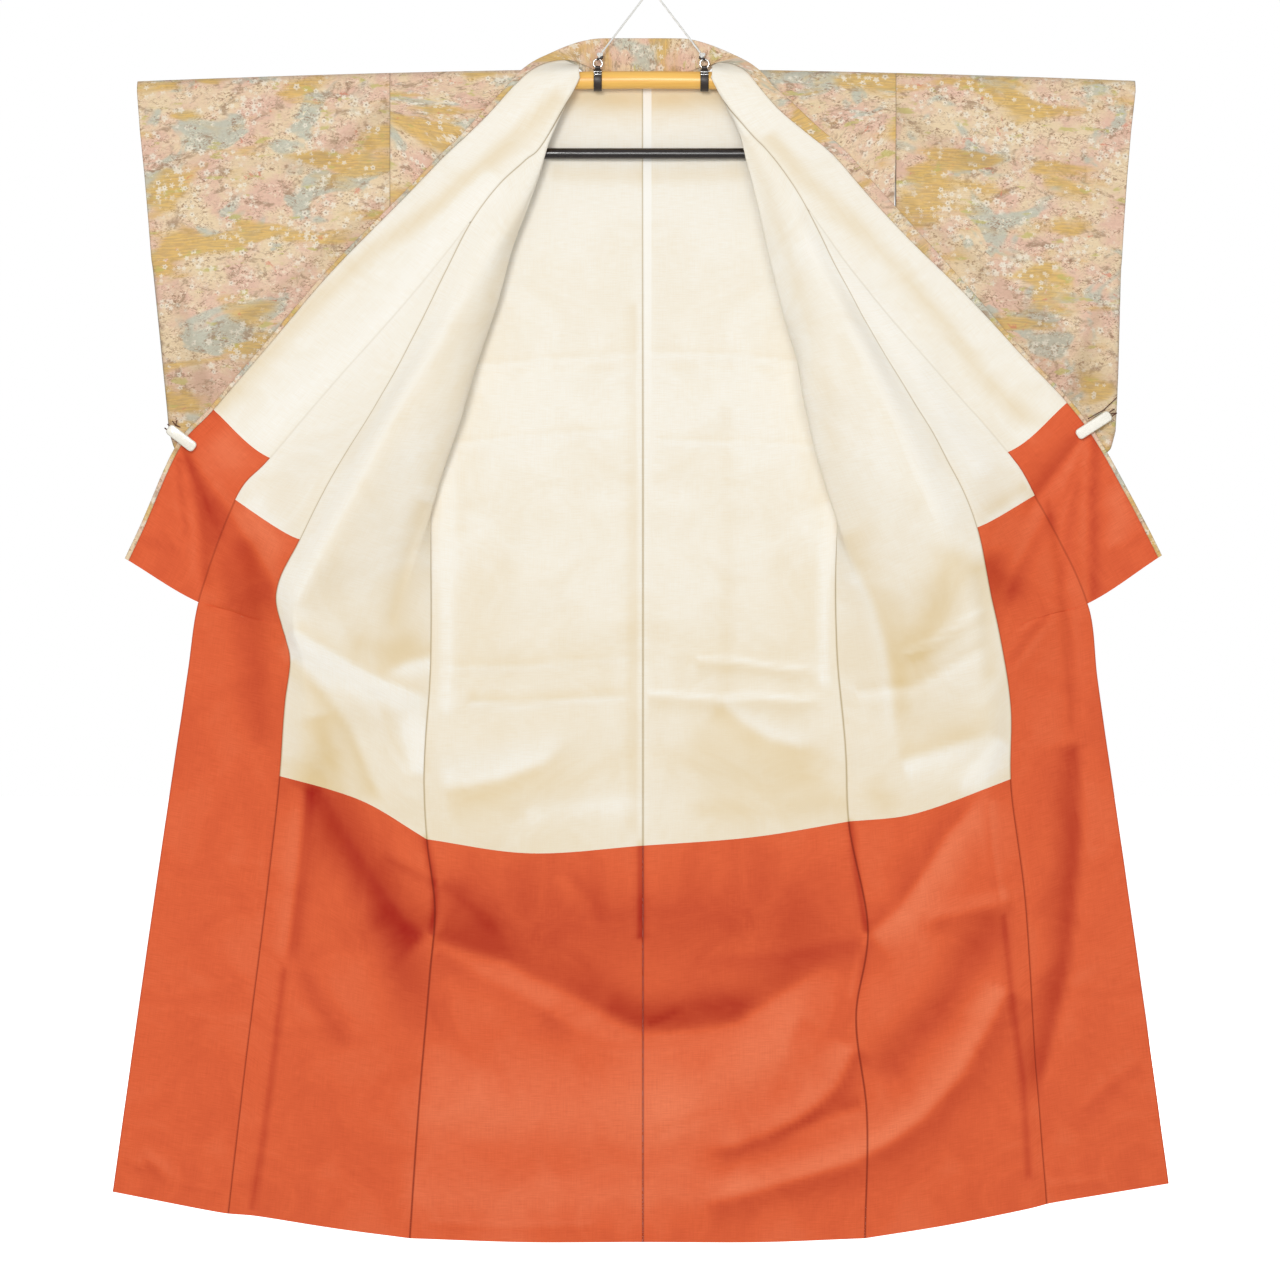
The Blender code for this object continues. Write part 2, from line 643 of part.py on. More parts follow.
def back_along(row, distance):
    """Point and direction at a distance from a row's last point, back along it."""
    for (near, near_normal), (far, far_normal) in zip(row[::-1], row[-2::-1]):
        length = np.linalg.norm(far - near)
        if distance <= length:
            share = distance / length
            return near + (far - near) * share, near_normal + (far_normal - near_normal) * share
        distance -= length
    return row[0]


def make_collar(material, parent):
    """The collar's outer cloth, one piece from end to end round the neck."""
    sections = []
    for side in (-1, 1):
        rows, flaps = collar_rows(side, COLLAR_END, SHOULDER)
        neck, neck_flaps = neck_samples(side)
        half = [folded(row, flap) for row, flap in zip(rows + neck, flaps + neck_flaps)]
        sections.append(half)
    outer_cloth("collar", sections[0] + [folded(*middle_row())] + sections[1][::-1], material, parent)


def make_collar_linings(side, name_end, materials, parent):
    """The collar's lining, which stops short of the fold, and the part of it at the collar's end."""
    clear_of_fold = 1.2
    stretches = (
        ("collar_lining", COLLAR_LINING_END, SHOULDER, "cream"),
        ("collar_end_lining", COLLAR_END, COLLAR_LINING_END, "orange"),
    )
    for name, low, high, colour in stretches:
        rows, _ = collar_rows(side, low, high)
        if high == SHOULDER:
            rows += neck_samples(side)[0][:NECK_LINING_ROWS]
        for row in rows:
            row[-1] = back_along(row, clear_of_fold)
        if low == COLLAR_LINING_END:
            rows[0] = shifted(rows[0], rows[1])
        if high == COLLAR_LINING_END:
            rows[-1] = shifted(rows[-1], rows[-2])
        lining(f"{name}_{name_end}", rows[::-side], materials[colour], parent)


def shifted(row, towards):
    """A row at a seam, moved half the seam's gap towards its neighbour."""
    moved = []
    for (point, normal), (other, _) in zip(row, towards):
        way = (other - point) / np.linalg.norm(other - point)
        moved.append((point + way * SEAM_HALF_GAP, normal))
    return moved


def make_panels(side, name_end, materials, parent):
    """Every piece of the body and overlap on one side."""
    silk, cream, orange = (materials[key] for key in ("silk", "cream", "orange"))
    outer_cloth(f"body_{name_end}", body_samples(side, 0), silk, parent)
    lining(f"body_lining_{name_end}", body_samples(side, HEM_LINING_TOP), cream, parent)
    hem_levels = levels_between(0, HEM_LINING_TOP)
    lifts = lifts_for(hem_levels, False, True)
    back = back_rows(side, hem_levels, lifts)
    lining(f"hem_lining_back_{name_end}", back, orange, parent)
    front = body_front_rows(side, hem_levels, lifts)
    lining(f"hem_lining_front_{name_end}", front[::-1], orange, parent)
    outer_cloth(f"okumi_{name_end}", overlap_samples(side, 0, OVERLAP_TIP), silk, parent)
    upper = overlap_samples(side, OVERLAP_LINING_TOP, OVERLAP_TIP)
    lining(f"okumi_lining_{name_end}", upper, cream, parent)
    lower = overlap_samples(side, 0, OVERLAP_LINING_TOP)
    lining(f"okumi_hem_lining_{name_end}", lower, orange, parent)


def make_sleeve(side, name_end, material, parent):
    """A flat bag over the rod: open at the body's side and at the cuff, closed below it."""
    mesh = bmesh.new()
    column = 1 if side < 0 else 2
    heights = [row[0] for row in SLEEVE_SIDE]
    inner = ARMHOLE + 2 * SEAM_HALF_GAP

    def line(z, y, at_rod=False):
        """A row of vertices from the armhole to the outer side."""
        outer = np.interp(-z, [-height for height in heights], [row[column] for row in SLEEVE_SIDE])
        row = []
        for share in steps(0, 1, SLEEVE_COLUMNS):
            x = inner + (outer - inner) * share
            height = z + rod_axis(x) - (0 if at_rod else rod_axis(inner))
            row.append(mesh.verts.new(Vector((side * x, y, height)) * MM))
        return row

    lower = heights[1:]
    front = [line(z, -sleeve_depth(z)) for z in reversed(lower)]
    arc = []
    for step in range(ROD_STEPS + 1):
        angle = math.pi * step / ROD_STEPS
        arc.append(line(ROD_CLOTH_RADIUS * math.sin(angle), -ROD_CLOTH_RADIUS * math.cos(angle), True))
    back = [line(z, sleeve_depth(z)) for z in lower]
    loop = front + arc + back
    add_faces(mesh, loop + [loop[0]], side < 0)
    closed = sum(1 for z in lower if z <= -CUFF_DEPTH)
    for k in range(closed - 1):
        a, b = front[k][-1], front[k + 1][-1]
        c, d = back[-2 - k][-1], back[-1 - k][-1]
        mesh.faces.new((a, b, c, d) if side < 0 else (a, d, c, b))
    bmesh.ops.recalc_face_normals(mesh, faces=mesh.faces)
    obj = new_object(f"sleeve_{name_end}", mesh, material, parent)
    solid = obj.modifiers.new("wall", "SOLIDIFY")
    solid.thickness = SLEEVE_CLOTH * MM
    solid.offset = -1
    solid.use_even_offset = True


# Hanging gear


def make_tube(name, points, radius, material, parent, resolution=3):
    """A rod, wire or cord along points in millimetres."""
    data = bpy.data.curves.new(name, "CURVE")
    data.dimensions = "3D"
    data.bevel_depth = radius * MM
    data.bevel_resolution = resolution
    data.use_fill_caps = True
    line = data.splines.new("POLY")
    line.points.add(len(points) - 1)
    for point, place in zip(line.points, points):
        point.co = (*(Vector(place) * MM), 1)
    obj = bpy.data.objects.new(name, data)
    bpy.data.collections["kimono"].objects.link(obj)
    obj.parent = parent
    data.materials.append(material)
    return obj


def make_torus(name, centre, radius, wire, turn, material, parent):
    """A wire ring. Turn is its rotation from lying flat."""
    bpy.ops.mesh.primitive_torus_add(
        major_radius=radius * MM, minor_radius=wire * MM, major_segments=18, minor_segments=7
    )
    return place_primitive(name, centre, turn, material, parent)


def place_primitive(name, centre, turn, material, parent):
    """Names the primitive just added and puts it in the garment's frame."""
    obj = bpy.context.object
    obj.name = name
    obj.data.name = name
    for collection in list(obj.users_collection):
        collection.objects.unlink(obj)
    bpy.data.collections["kimono"].objects.link(obj)
    obj.parent = parent
    obj.location = Vector(centre) * MM
    obj.rotation_euler = turn
    obj.data.materials.append(material)
    obj.data.shade_smooth()
    return obj


def make_clamp(name, x, material, parent):
    """A band round the rod: a turned profile, open along the rod."""
    inner, outer, half = ROD_RADIUS + PLY_GAP, CLAMP_RADIUS, CLAMP_WIDTH / 2
    profile = [
        (inner, -half), (outer - CLAMP_CORNER, -half), (outer, -half + CLAMP_CORNER),
        (outer, half - CLAMP_CORNER), (outer - CLAMP_CORNER, half), (inner, half),
    ]
    mesh = bmesh.new()
    vertices = [mesh.verts.new(Vector((radius, 0, z)) * MM) for radius, z in reversed(profile)]
    for a, b in zip(vertices, vertices[1:] + vertices[:1]):
        mesh.edges.new((a, b))
    obj = new_object(name, mesh, material, parent)
    screw = obj.modifiers.new("turn", "SCREW")
    screw.steps = screw.render_steps = 20
    screw.merge_threshold = 0.0001
    screw.use_merge_vertices = True
    obj.rotation_euler = (0, math.pi / 2, 0)
    obj.location = Vector((x, 0, rod_axis(x))) * MM


def make_hanger(materials, parent):
    """The rod with its clamps, eyes, knots and cords, and the bar that hangs under it."""
    wood, black, steel, white = (materials[key] for key in ("wood", "black", "steel", "cord"))
    stations = np.linspace(-ROD_HALF_LENGTH, ROD_HALF_LENGTH, 21)
    make_tube("rod", [(x, 0, rod_axis(x)) for x in stations], ROD_RADIUS, wood, parent, 6)
    upright = (math.pi / 2, 0, 0)
    ring = Vector(RING_AT)
    make_torus("hang_ring", ring, RING_RADIUS, RING_WIRE, upright, steel, parent)
    for side, name_end in ((-1, "left"), (1, "right")):
        x = RING_AT[0] + side * CLAMP_SPREAD
        make_clamp(f"clamp_{name_end}", x, black, parent)
        base = Vector((x, 0, rod_axis(x)))
        eye = base + Vector((0, 0, EYE_HEIGHT))
        make_torus(f"eye_{name_end}", eye, EYE_RADIUS, EYE_WIRE, upright, steel, parent)
        knot = base + Vector((-side * KNOT_ASIDE, 0, KNOT_HEIGHT))
        bpy.ops.mesh.primitive_uv_sphere_add(segments=12, ring_count=8, radius=KNOT_RADIUS * MM)
        place_primitive(f"knot_{name_end}", knot, (0, 0, 0), white, parent)
        way = (ring - knot).normalized()
        start = knot + way * (KNOT_RADIUS + PLY_GAP)
        end = ring - way * (RING_RADIUS + RING_WIRE + CORD_CLEAR)
        cord = [start.lerp(end, share) for share in steps(0, 1, 4)]
        make_tube(f"cord_{name_end}", cord, CORD_RADIUS, white, parent, 2)
    y, z = BAR_AT
    make_tube("bar", [(-BAR_HALF_LENGTH, y, z), (BAR_HALF_LENGTH, y, z)], BAR_RADIUS, black, parent)
    for side, name_end in ((-1, "left"), (1, "right")):
        x = side * LINK_X
        top = rod_axis(x) - ROD_RADIUS - PLY_GAP
        bottom = z + BAR_RADIUS + PLY_GAP
        make_tube(f"link_{name_end}", [(x, y, top), (x, y, bottom)], LINK_RADIUS, black, parent)


def make_clip(name_end, material, parent):
    """A peg that pinches collar and sleeve: two bars, and a thin band that joins them round the edge."""
    (x0, z0), (x1, z1), band = CLIPS[name_end]
    start, end = Vector((x0, 0, z0)), Vector((x1, 0, z1))
    along = (end - start).normalized()
    length = (end - start).length
    back_length = length * CLIP_BACK_SHARE
    profile = [
        (-band, CLIP_FRONT - CLIP_BAND), (0, CLIP_FRONT - CLIP_BAND), (0, CLIP_FRONT - CLIP_BAR),
        (length, CLIP_FRONT - CLIP_BAR), (length, CLIP_FRONT), (CLIP_BAND - band, CLIP_FRONT),
        (CLIP_BAND - band, CLIP_BACK), (back_length, CLIP_BACK), (back_length, CLIP_BACK + CLIP_BAR),
        (0, CLIP_BACK + CLIP_BAR), (0, CLIP_BACK + CLIP_BAND), (-band, CLIP_BACK + CLIP_BAND),
    ]
    data = bpy.data.curves.new(f"clip_{name_end}", "CURVE")
    data.dimensions = "2D"
    data.fill_mode = "BOTH"
    data.extrude = (CLIP_WIDTH / 2) * MM
    outline = data.splines.new("POLY")
    outline.points.add(len(profile) - 1)
    outline.use_cyclic_u = True
    for point, (u, v) in zip(outline.points, profile):
        point.co = (u * MM, v * MM, 0, 1)
    obj = bpy.data.objects.new(f"clip_{name_end}", data)
    bpy.data.collections["kimono"].objects.link(obj)
    obj.parent = parent
    depth = Vector((0, 1, 0))
    turn = Matrix((along, depth, along.cross(depth))).transposed()
    obj.rotation_euler = turn.to_euler()
    obj.location = start * MM
    data.materials.append(material)


def main():
    clear_scene()
    collection = bpy.data.collections.new("kimono")
    bpy.context.scene.collection.children.link(collection)
    materials = {name: make_material(name) for name in COLOURS}
    hanging = bpy.data.objects.new("hanging", None)
    collection.objects.link(hanging)
    hanging.location = -Vector(RING_AT) * MM
    make_hanger(materials, hanging)
    make_collar(materials["silk"], hanging)
    for side, name_end in ((-1, "left"), (1, "right")):
        make_panels(side, name_end, materials, hanging)
        make_collar_linings(side, name_end, materials, hanging)
        make_sleeve(side, name_end, materials["silk"], hanging)
        make_clip(name_end, materials["white"], hanging)


main()
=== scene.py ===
"""Looks of a lined kimono hung open on a wooden rod, with its lining to the front.

Lengths are millimetres in the garment's own frame, whose origin is the middle of the rod's axis: x runs to
the viewer's right, y away from the viewer and z up. "Left" and "right" are the viewer's. A level is a height
in the cloth, about centimetres above the hem along its threads. The guide tables and the curves through them
are the CAD model's, sampled finely here.
"""

import math

import bpy
import numpy as np
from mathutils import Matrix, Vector


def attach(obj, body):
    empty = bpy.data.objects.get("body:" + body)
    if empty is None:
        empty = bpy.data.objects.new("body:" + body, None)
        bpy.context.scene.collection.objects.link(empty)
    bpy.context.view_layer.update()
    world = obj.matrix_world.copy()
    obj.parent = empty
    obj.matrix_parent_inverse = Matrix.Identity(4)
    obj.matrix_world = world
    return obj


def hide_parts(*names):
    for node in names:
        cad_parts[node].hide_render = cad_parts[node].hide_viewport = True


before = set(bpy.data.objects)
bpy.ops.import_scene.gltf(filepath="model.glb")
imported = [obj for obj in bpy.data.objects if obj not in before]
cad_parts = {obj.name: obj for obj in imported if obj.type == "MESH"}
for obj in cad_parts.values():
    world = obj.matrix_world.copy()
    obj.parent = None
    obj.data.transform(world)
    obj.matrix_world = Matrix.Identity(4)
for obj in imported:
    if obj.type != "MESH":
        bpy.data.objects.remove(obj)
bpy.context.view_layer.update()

MM = 0.001
RING_AT = np.array((11.0, 0.0, 124.0))  # the frame's origin, seen from the middle of the rod
SIDES = ((-1, "left"), (1, "right"))

# Cloth: distances of a layer's two faces from the garment's outer face, towards the lining
OUTER = (0.1, 0.9)
LINING = (1.35, 2.15)
COLLAR_LAYER = (0.0, 0.8)
SLEEVE_WALL = 0.0009  # metres
SEAM_HALF_GAP = 0.02
FLAP_OUT = 4.4  # from the collar's outer face to the far face of its folded flap
COLLAR_CLEAR = 1.6
FOLD_CLEAR = 1.2  # the collar's lining stops this far from its fold
SEAM_DIP, SEAM_DIP_WIDTH = 0.3, 0.9  # a layer thins this much towards its seams
SEAM_STEP = 2.45  # front and back are this far from the middle of their seam where it is open

# Levels
SHOULDER = 155.7
KENSAKI = 137.0  # where the overlap panel's edge meets the collar
COLLAR_END = 80.0
HEM_LINING_TOP = 60.0
OVERLAP_LINING_TOP = 92.0
COLLAR_LINING_END = 103.0
SEAM_OPENS, SEAM_FLAT = 100.0, 84.0
LAYERS_MEET = (77.0, 86.0)  # above these the front lies on the back at their seam, so neither stands off it
OVERLAP_TIP = 136.7
TIP_STARTS = 115.0
LEVEL_STEP = 0.6

# Hanging gear
ROD_RADIUS = 12.0
ROD_HALF_LENGTH = 655.0
ROD_DROOP, DROOP_POWER = 16.0, 1.6
ROD_CLOTH_RADIUS = 15.3
CLAMP_SPREAD = 72.0
RING_RADIUS, RING_WIRE = 9.0, 1.8
KNOT_RADIUS, KNOT_HEIGHT, KNOT_ASIDE = 4.4, 34.0, 3.0
KNOT_SIZE, KNOT_CORD = 1.15, 1.2
CORD_RADIUS, CORD_CLEAR, CORD_START = 1.3, 0.2, 0.3
EYE_HEIGHT, EYE_RADIUS, EYE_WIRE = 22.5, 6.0, 1.2
LUG_HEIGHT, CAP_HEIGHT, CAP_TILT = 16.9, 29.6, 0.35
BAR_RADIUS, BAR_HALF_LENGTH, BAR_AT = 7.5, 182.0, (4.0, -99.0)
# The clamp's band in section: place along the rod and radius
CLAMP_SECTION = (
    (-5.5, 12.3), (-5.5, 14.2), (-5.2, 14.8), (-4.6, 15), (4.6, 15), (5.2, 14.8), (5.5, 14.2), (5.5, 12.3),
    (-5.5, 12.3),
)
CLAMP_WIRES = ((-11.6, 10.6), (-13.9, 6.9))  # y, z of the bright wires round the clamp's front
# Each clip: outer and inner end of its front bar, and how far its elastic runs past the bar
CLIPS = {"left": ((-640, -470), (-604, -498), 4.0), "right": ((630, -452), (585, -481), 9.0)}
# Thin dark cords tied to each clip, lying on the sleeve: x, z
CLIP_TIES = {
    "left": (((-634, -461), (-630, -466), (-624, -469)), ((-628, -460), (-630, -466), (-633, -471))),
    "right": (((600, -458), (610, -452), (621, -446), (639, -429)), ((629, -451), (638, -450))),
}
TIE_NEAR, TIE_FAR, TIE_RADIUS = -15.5, -8.5, 0.7
CLIP_WIDTH, CLIP_BAR, CLIP_BACK_SHARE = 15.0, 4.6, 0.8
CLIP_FRONT, CLIP_BACK = -15.2, 7.0
CLIP_CORNER, CLIP_EDGE = 5.4, 1.7
# The elastics of a clip: how far along its bar, the share of how far they run past it, and y
ELASTIC_PATH = (
    (4, 0, -17.5), (0, 0, -17.5), (0, 0.55, -16), (0, 1, -9),
    (0, 1, 1), (0, 0.55, 8), (0, 0, 9.3), (4, 0, 9.3),
)
ELASTIC_ASIDE, ELASTIC_RADIUS = 3.2, 0.8
TINY = 0.02  # keeps closed ends from falling together

# Guide lines of the panels: level, x, y, z. Each runs up the cloth, from the hem to the rod.
LEFT = {
    "back": (
        (0, -160, 13, -1570), (20, -160, 12, -1392), (46, -160, 12, -1168), (60, -160, 12, -1044),
        (84, -160, 13, -780), (113, -170, 14, -460), (137, -180, 15, -200), (SHOULDER, -190, 15.3, -2),
    ),
    "side": (
        (0, -315, 4, -1564), (20, -303, 3, -1388), (40, -288, 1, -1210), (50, -281, 0, -1118),
        (60, -292, 2, -1025), (70, -296, 3, -935), (84, -287, 2, -780), (92, -287, 1, -672),
        (103, -291, 0, -545), (113, -306, 0, -440), (124, -326, 0, -330), (137, -340, 0, -196),
        (148, -341, 0, -86), (SHOULDER, -341, 0, -5.5),
    ),
    "fold": (
        (0, -409, -2, -1551), (20, -400, -6, -1370), (46, -388, -9, -1120), (60, -381, -12, -972),
        (70, -374, -15, -885), (76, -362, -17, -830), (84, -338, -18, -748), (92, -313, -18, -660),
        (98, -292, -18, -600), (103, -276, -19, -543), (113, -243, -20, -440), (124, -210, -21, -335),
        (131, -195, -21, -288), (137, -178, -20, -228), (143, -157, -19, -172), (148, -139, -18, -122),
        (152, -124, -17, -72), (154, -106, -15.8, -34), (SHOULDER, -95, -15.3, 0),
    ),
    "crease": (
        (0, -528, -20, -1531), (20, -505, -17, -1350), (46, -466, -20, -1078), (60, -455, -28, -948),
        (70, -452, -38, -854), (76, -458, -46, -783), (84, -468, -58, -712), (92, -423, -66, -625),
        (103, -371, -66, -528), (113, -321, -61, -435), (124, -269, -54, -345), (131, -229, -46, -284),
        (137, -193, -39, -224), (143, -171, -31, -186), (148, -149, -25, -138), (152, -128, -20, -82),
        (154, -107, -18.5, -36), (SHOULDER, -90.5, -15.3, 0),
    ),
    "seam": (
        (0, -559, -16, -1529), (20, -536, -14, -1329), (46, -504, -16, -1072), (60, -489, -23, -939),
        (70, -481, -33, -838), (76, -474, -41, -775), (80, -484, -46, -738), (84, -493, -50, -700),
        (92, -460, -52, -621), (103, -410, -49, -524), (113, -360, -45, -443), (124, -305, -41, -342),
        (131, -266, -37, -262), (137, -231, -33, -193), (143, -192, -28, -141), (148, -159, -24, -110),
        (152, -132, -20.5, -82), (154, -107, -21, -36), (SHOULDER, -86, -15.3, 0),
    ),
    "edge": (
        (0, -715, -9, -1500), (20, -687, -9, -1300), (46, -650, -10, -1043), (70, -614, -12, -804),
        (80, -599, -12, -705), (84, -588, -13, -668), (92, -549, -15, -567), (103, -502, -18, -511),
        (113, -421, -24, -416), (124, -333, -30, -318), (131, -279, -32, -254), (KENSAKI, -231, -33, -192),
    ),
    "collar": (
        (80, -697, -7, -647), (84, -679, -7, -609), (92, -633, -7.5, -504), (103, -582, -8.5, -443),
        (113, -510, -10.5, -360), (124, -419, -13, -254), (131, -362, -14.5, -196), (137, -311, -16, -145),
        (143, -271, -17, -103), (148, -239, -18, -72), (152, -212, -19, -43), (SHOULDER, -185, -19, -14),
    ),
}
RIGHT = {
    "back": (
        (0, 160, 13, -1570), (20, 160, 12, -1388), (46, 160, 12, -1150), (60, 160, 12, -1021),
        (84, 160, 13, -770), (113, 170, 14, -460), (137, 180, 15, -200), (SHOULDER, 190, 15.3, -2),
    ),
    "side": (
        (0, 300, 4, -1564), (20, 302, 3, -1388), (34, 288, 1, -1262), (46, 304, 0, -1150),
        (60, 278, 2, -1001), (70, 274, 3, -905), (84, 262, 2, -763), (92, 261, 1, -669),
        (103, 270, 0, -545), (113, 290, 0, -440), (124, 318, 0, -330), (137, 337, 0, -196),
        (148, 341, 0, -86), (SHOULDER, 341, 0, -5.5),
    ),
    "fold": (
        (0, 414, -2, -1545), (20, 396, -6, -1368), (46, 366, -9, -1132), (60, 354, -12, -993),
        (70, 354, -15, -885), (76, 345, -17, -831), (84, 316, -18, -756), (92, 285, -18, -668),
        (98, 266, -18, -604), (103, 247, -19, -545), (113, 222, -20, -440), (124, 203, -21, -350),
        (131, 189, -21, -298), (137, 171, -20, -229), (143, 156, -19, -164), (148, 142, -18, -112),
        (152, 128, -17, -64), (154, 112, -15.8, -32), (SHOULDER, 101, -15.3, 0),
    ),
    "crease": (
        (0, 524, -20, -1521), (20, 512, -17, -1344), (46, 478, -20, -1095), (60, 463, -28, -955),
        (70, 465, -38, -871), (76, 456, -46, -810), (84, 436, -58, -716), (92, 405, -66, -617),
        (103, 362, -66, -519), (113, 321, -61, -425), (124, 277, -54, -333), (131, 242, -46, -262),
        (137, 209, -39, -199), (143, 182, -31, -148), (148, 161, -25, -108), (152, 134, -20.5, -68),
        (154, 113, -18.5, -33), (SHOULDER, 97, -15.3, 0),
    ),
    "seam": (
        (0, 544, -16, -1516), (20, 529, -14, -1323), (46, 513, -16, -1085), (60, 495, -23, -943),
        (70, 494, -33, -843), (76, 486, -41, -787), (80, 478, -46, -746), (84, 468, -50, -700),
        (92, 448, -52, -605), (103, 408, -49, -513), (113, 362, -45, -434), (124, 309, -41, -346),
        (131, 263, -37, -262), (137, 221, -33, -176), (143, 190, -28, -126), (148, 165, -24, -94),
        (152, 139, -21, -66), (154, 113, -21, -33), (SHOULDER, 93, -15.3, 0),
    ),
    "edge": (
        (0, 709, -9, -1489), (20, 682, -9, -1292), (46, 646, -10, -1038), (70, 612, -12, -805),
        (80, 599, -12, -707), (84, 582, -13, -664), (92, 528, -15, -561), (103, 491, -18, -503),
        (113, 421, -24, -423), (124, 346, -30, -338), (131, 283, -32, -262), (KENSAKI, 222, -33, -177),
    ),
    "collar": (
        (80, 698, -7, -643), (84, 679, -7, -605), (92, 624, -7.5, -504), (103, 574, -8.5, -434),
        (113, 509, -10.5, -365), (124, 428, -13, -272), (131, 367, -14.5, -205), (137, 308, -16, -140),
        (143, 271, -17, -98), (148, 232, -18, -64), (152, 200, -19, -34), (SHOULDER, 172, -19, -8),
    ),
}
BACK_CENTRE = (
    (0, 0, 15, -1570), (20, 0, 14, -1390), (46, 0, 13, -1164), (60, 0, 14, -1034),
    (84, 0, 15, -776), (113, 0, 17, -460), (137, 0, 19, -200), (SHOULDER, 0, 20.3, 0),
)
# The collar round the neck: seam point, fold point, and the flap's width on the left and on the right
NECK = (
    ((-86, -12.6, 12.2), (-171, -18, 2), 12, 22),
    ((-86, -3, 17.2), (-157, -10, 15), 16, 24),
    ((-86.5, 5, 17.6), (-143, -1, 25), 20, 26),
    ((-86, 10, 16.5), (-124, 8, 35), 22, 24),
    ((-84, 14, 14), (-102, 15, 45), 24, 24),
    ((-76, 17.5, 9.5), (-83, 18.5, 51.5), 32, 32),
    ((-62, 20, 5), (-66, 20.5, 55), 42, 42),
    ((-30, 21.8, 1.2), (-33, 22.5, 56), 49, 49),
)
NECK_MIDDLE = ((0, 22.2, 0.4), (0, 23, 56), 50)
NECK_RIGHT_SHIFTS = (7, -7)
NECK_LINING_STATIONS = 4
NECK_STEPS = 5  # rows from each of the neck's stations to the next
NECK_LEADS = (-8, -1)  # rows of the opened collar that lead the curves into the neck
NECK_BLEND = 1.6
# Width of the folded flap on the opened fronts: level, left, right
FLAP = (
    (80, 4, 4), (110, 4, 4), (117, 4, 5), (124, 4, 9), (131, 4, 15), (148, 5, 17), (SHOULDER, 8, 20),
)
# Outer side of each sleeve: z, distance from the centre on the left, and on the right
SLEEVE_SIDE = (
    (-6, 682, 664), (-60, 678, 658), (-120, 672, 653), (-180, 667, 649), (-232, 663, 646),
    (-300, 656, 644), (-380, 648, 642), (-430, 643, 640), (-465, 640, 638), (-488, 633, 632),
    (-500, 620, 621),
)
SLEEVE_LENGTH = 500.0
SLEEVE_BOTTOM_HALF_DEPTH = 5.0
SEAM_NARROWS, SEAM_NARROWED = -215.0, -360.0
CUFF_CLOSES = (232.0, 246.0)  # the cuff is open above and closed below
ARMHOLE = 341.0

# Columns across each panel, closer together beside its seams and folds. A front's are numbered along
# front_row: 0 side, 1 fold, 2 crease, 3 seam, 4 edge, 5 collar.
BODY_SPOTS = np.concatenate([
    (0, 0.006, 0.016, 0.035, 0.065), np.linspace(0.1, 0.82, 14), np.linspace(0.86, 1.0, 9),
    np.linspace(1.02, 1.2, 6), np.linspace(1.28, 1.92, 8), (1.97, 2.0, 2.03), np.linspace(2.12, 2.88, 7),
    (2.95, 2.985, 3),
])
PANEL_SHARES = np.concatenate([(0, 0.01, 0.03, 0.07), np.linspace(0.12, 0.88, 14), (0.93, 0.97, 0.99, 1)])
COLLAR_SHARES = np.concatenate([(0, 0.015, 0.05, 0.1), np.linspace(0.17, 0.9, 9), (0.96, 1)])
BACK_SHARES = np.concatenate([
    (0, 0.003, 0.008, 0.018, 0.035), np.linspace(0.06, 0.94, 32), (0.965, 0.982, 0.992, 0.997, 1),
])
SLEEVE_SHARES = np.concatenate([
    (0, 0.004, 0.012, 0.03, 0.06), np.linspace(0.1, 0.9, 30), (0.94, 0.97, 0.985, 0.995, 1),
])
SLEEVE_HEIGHTS = np.concatenate([(-500, -499.6, -498.5, -496.5, -493, -489), np.linspace(-484, -6, 74)])
ROD_STEPS = 16
# The columns that lie beside the seam between front and back, and the two between which that ends
BESIDE_SEAM = {"back": (BACK_SHARES, 0.03, 0.16), "body": (BODY_SPOTS, 0.93, 1.2)}
# Gentle waves of the cloth: height, about their size, and seed
PANEL_WAVE = (0.8, 90, 5)
SLEEVE_WAVE, SLEEVE_RIPPLE = (1.6, 150, 11), (0.7, 60, 12)
SLEEVE_WAVES_START = (20, 160)  # they grow between these two distances below the rod
CUFF_CALM, FOOT_CALM = 60, 40  # and die away this close to the cuff and the foot
WAVE_COUNT = 9

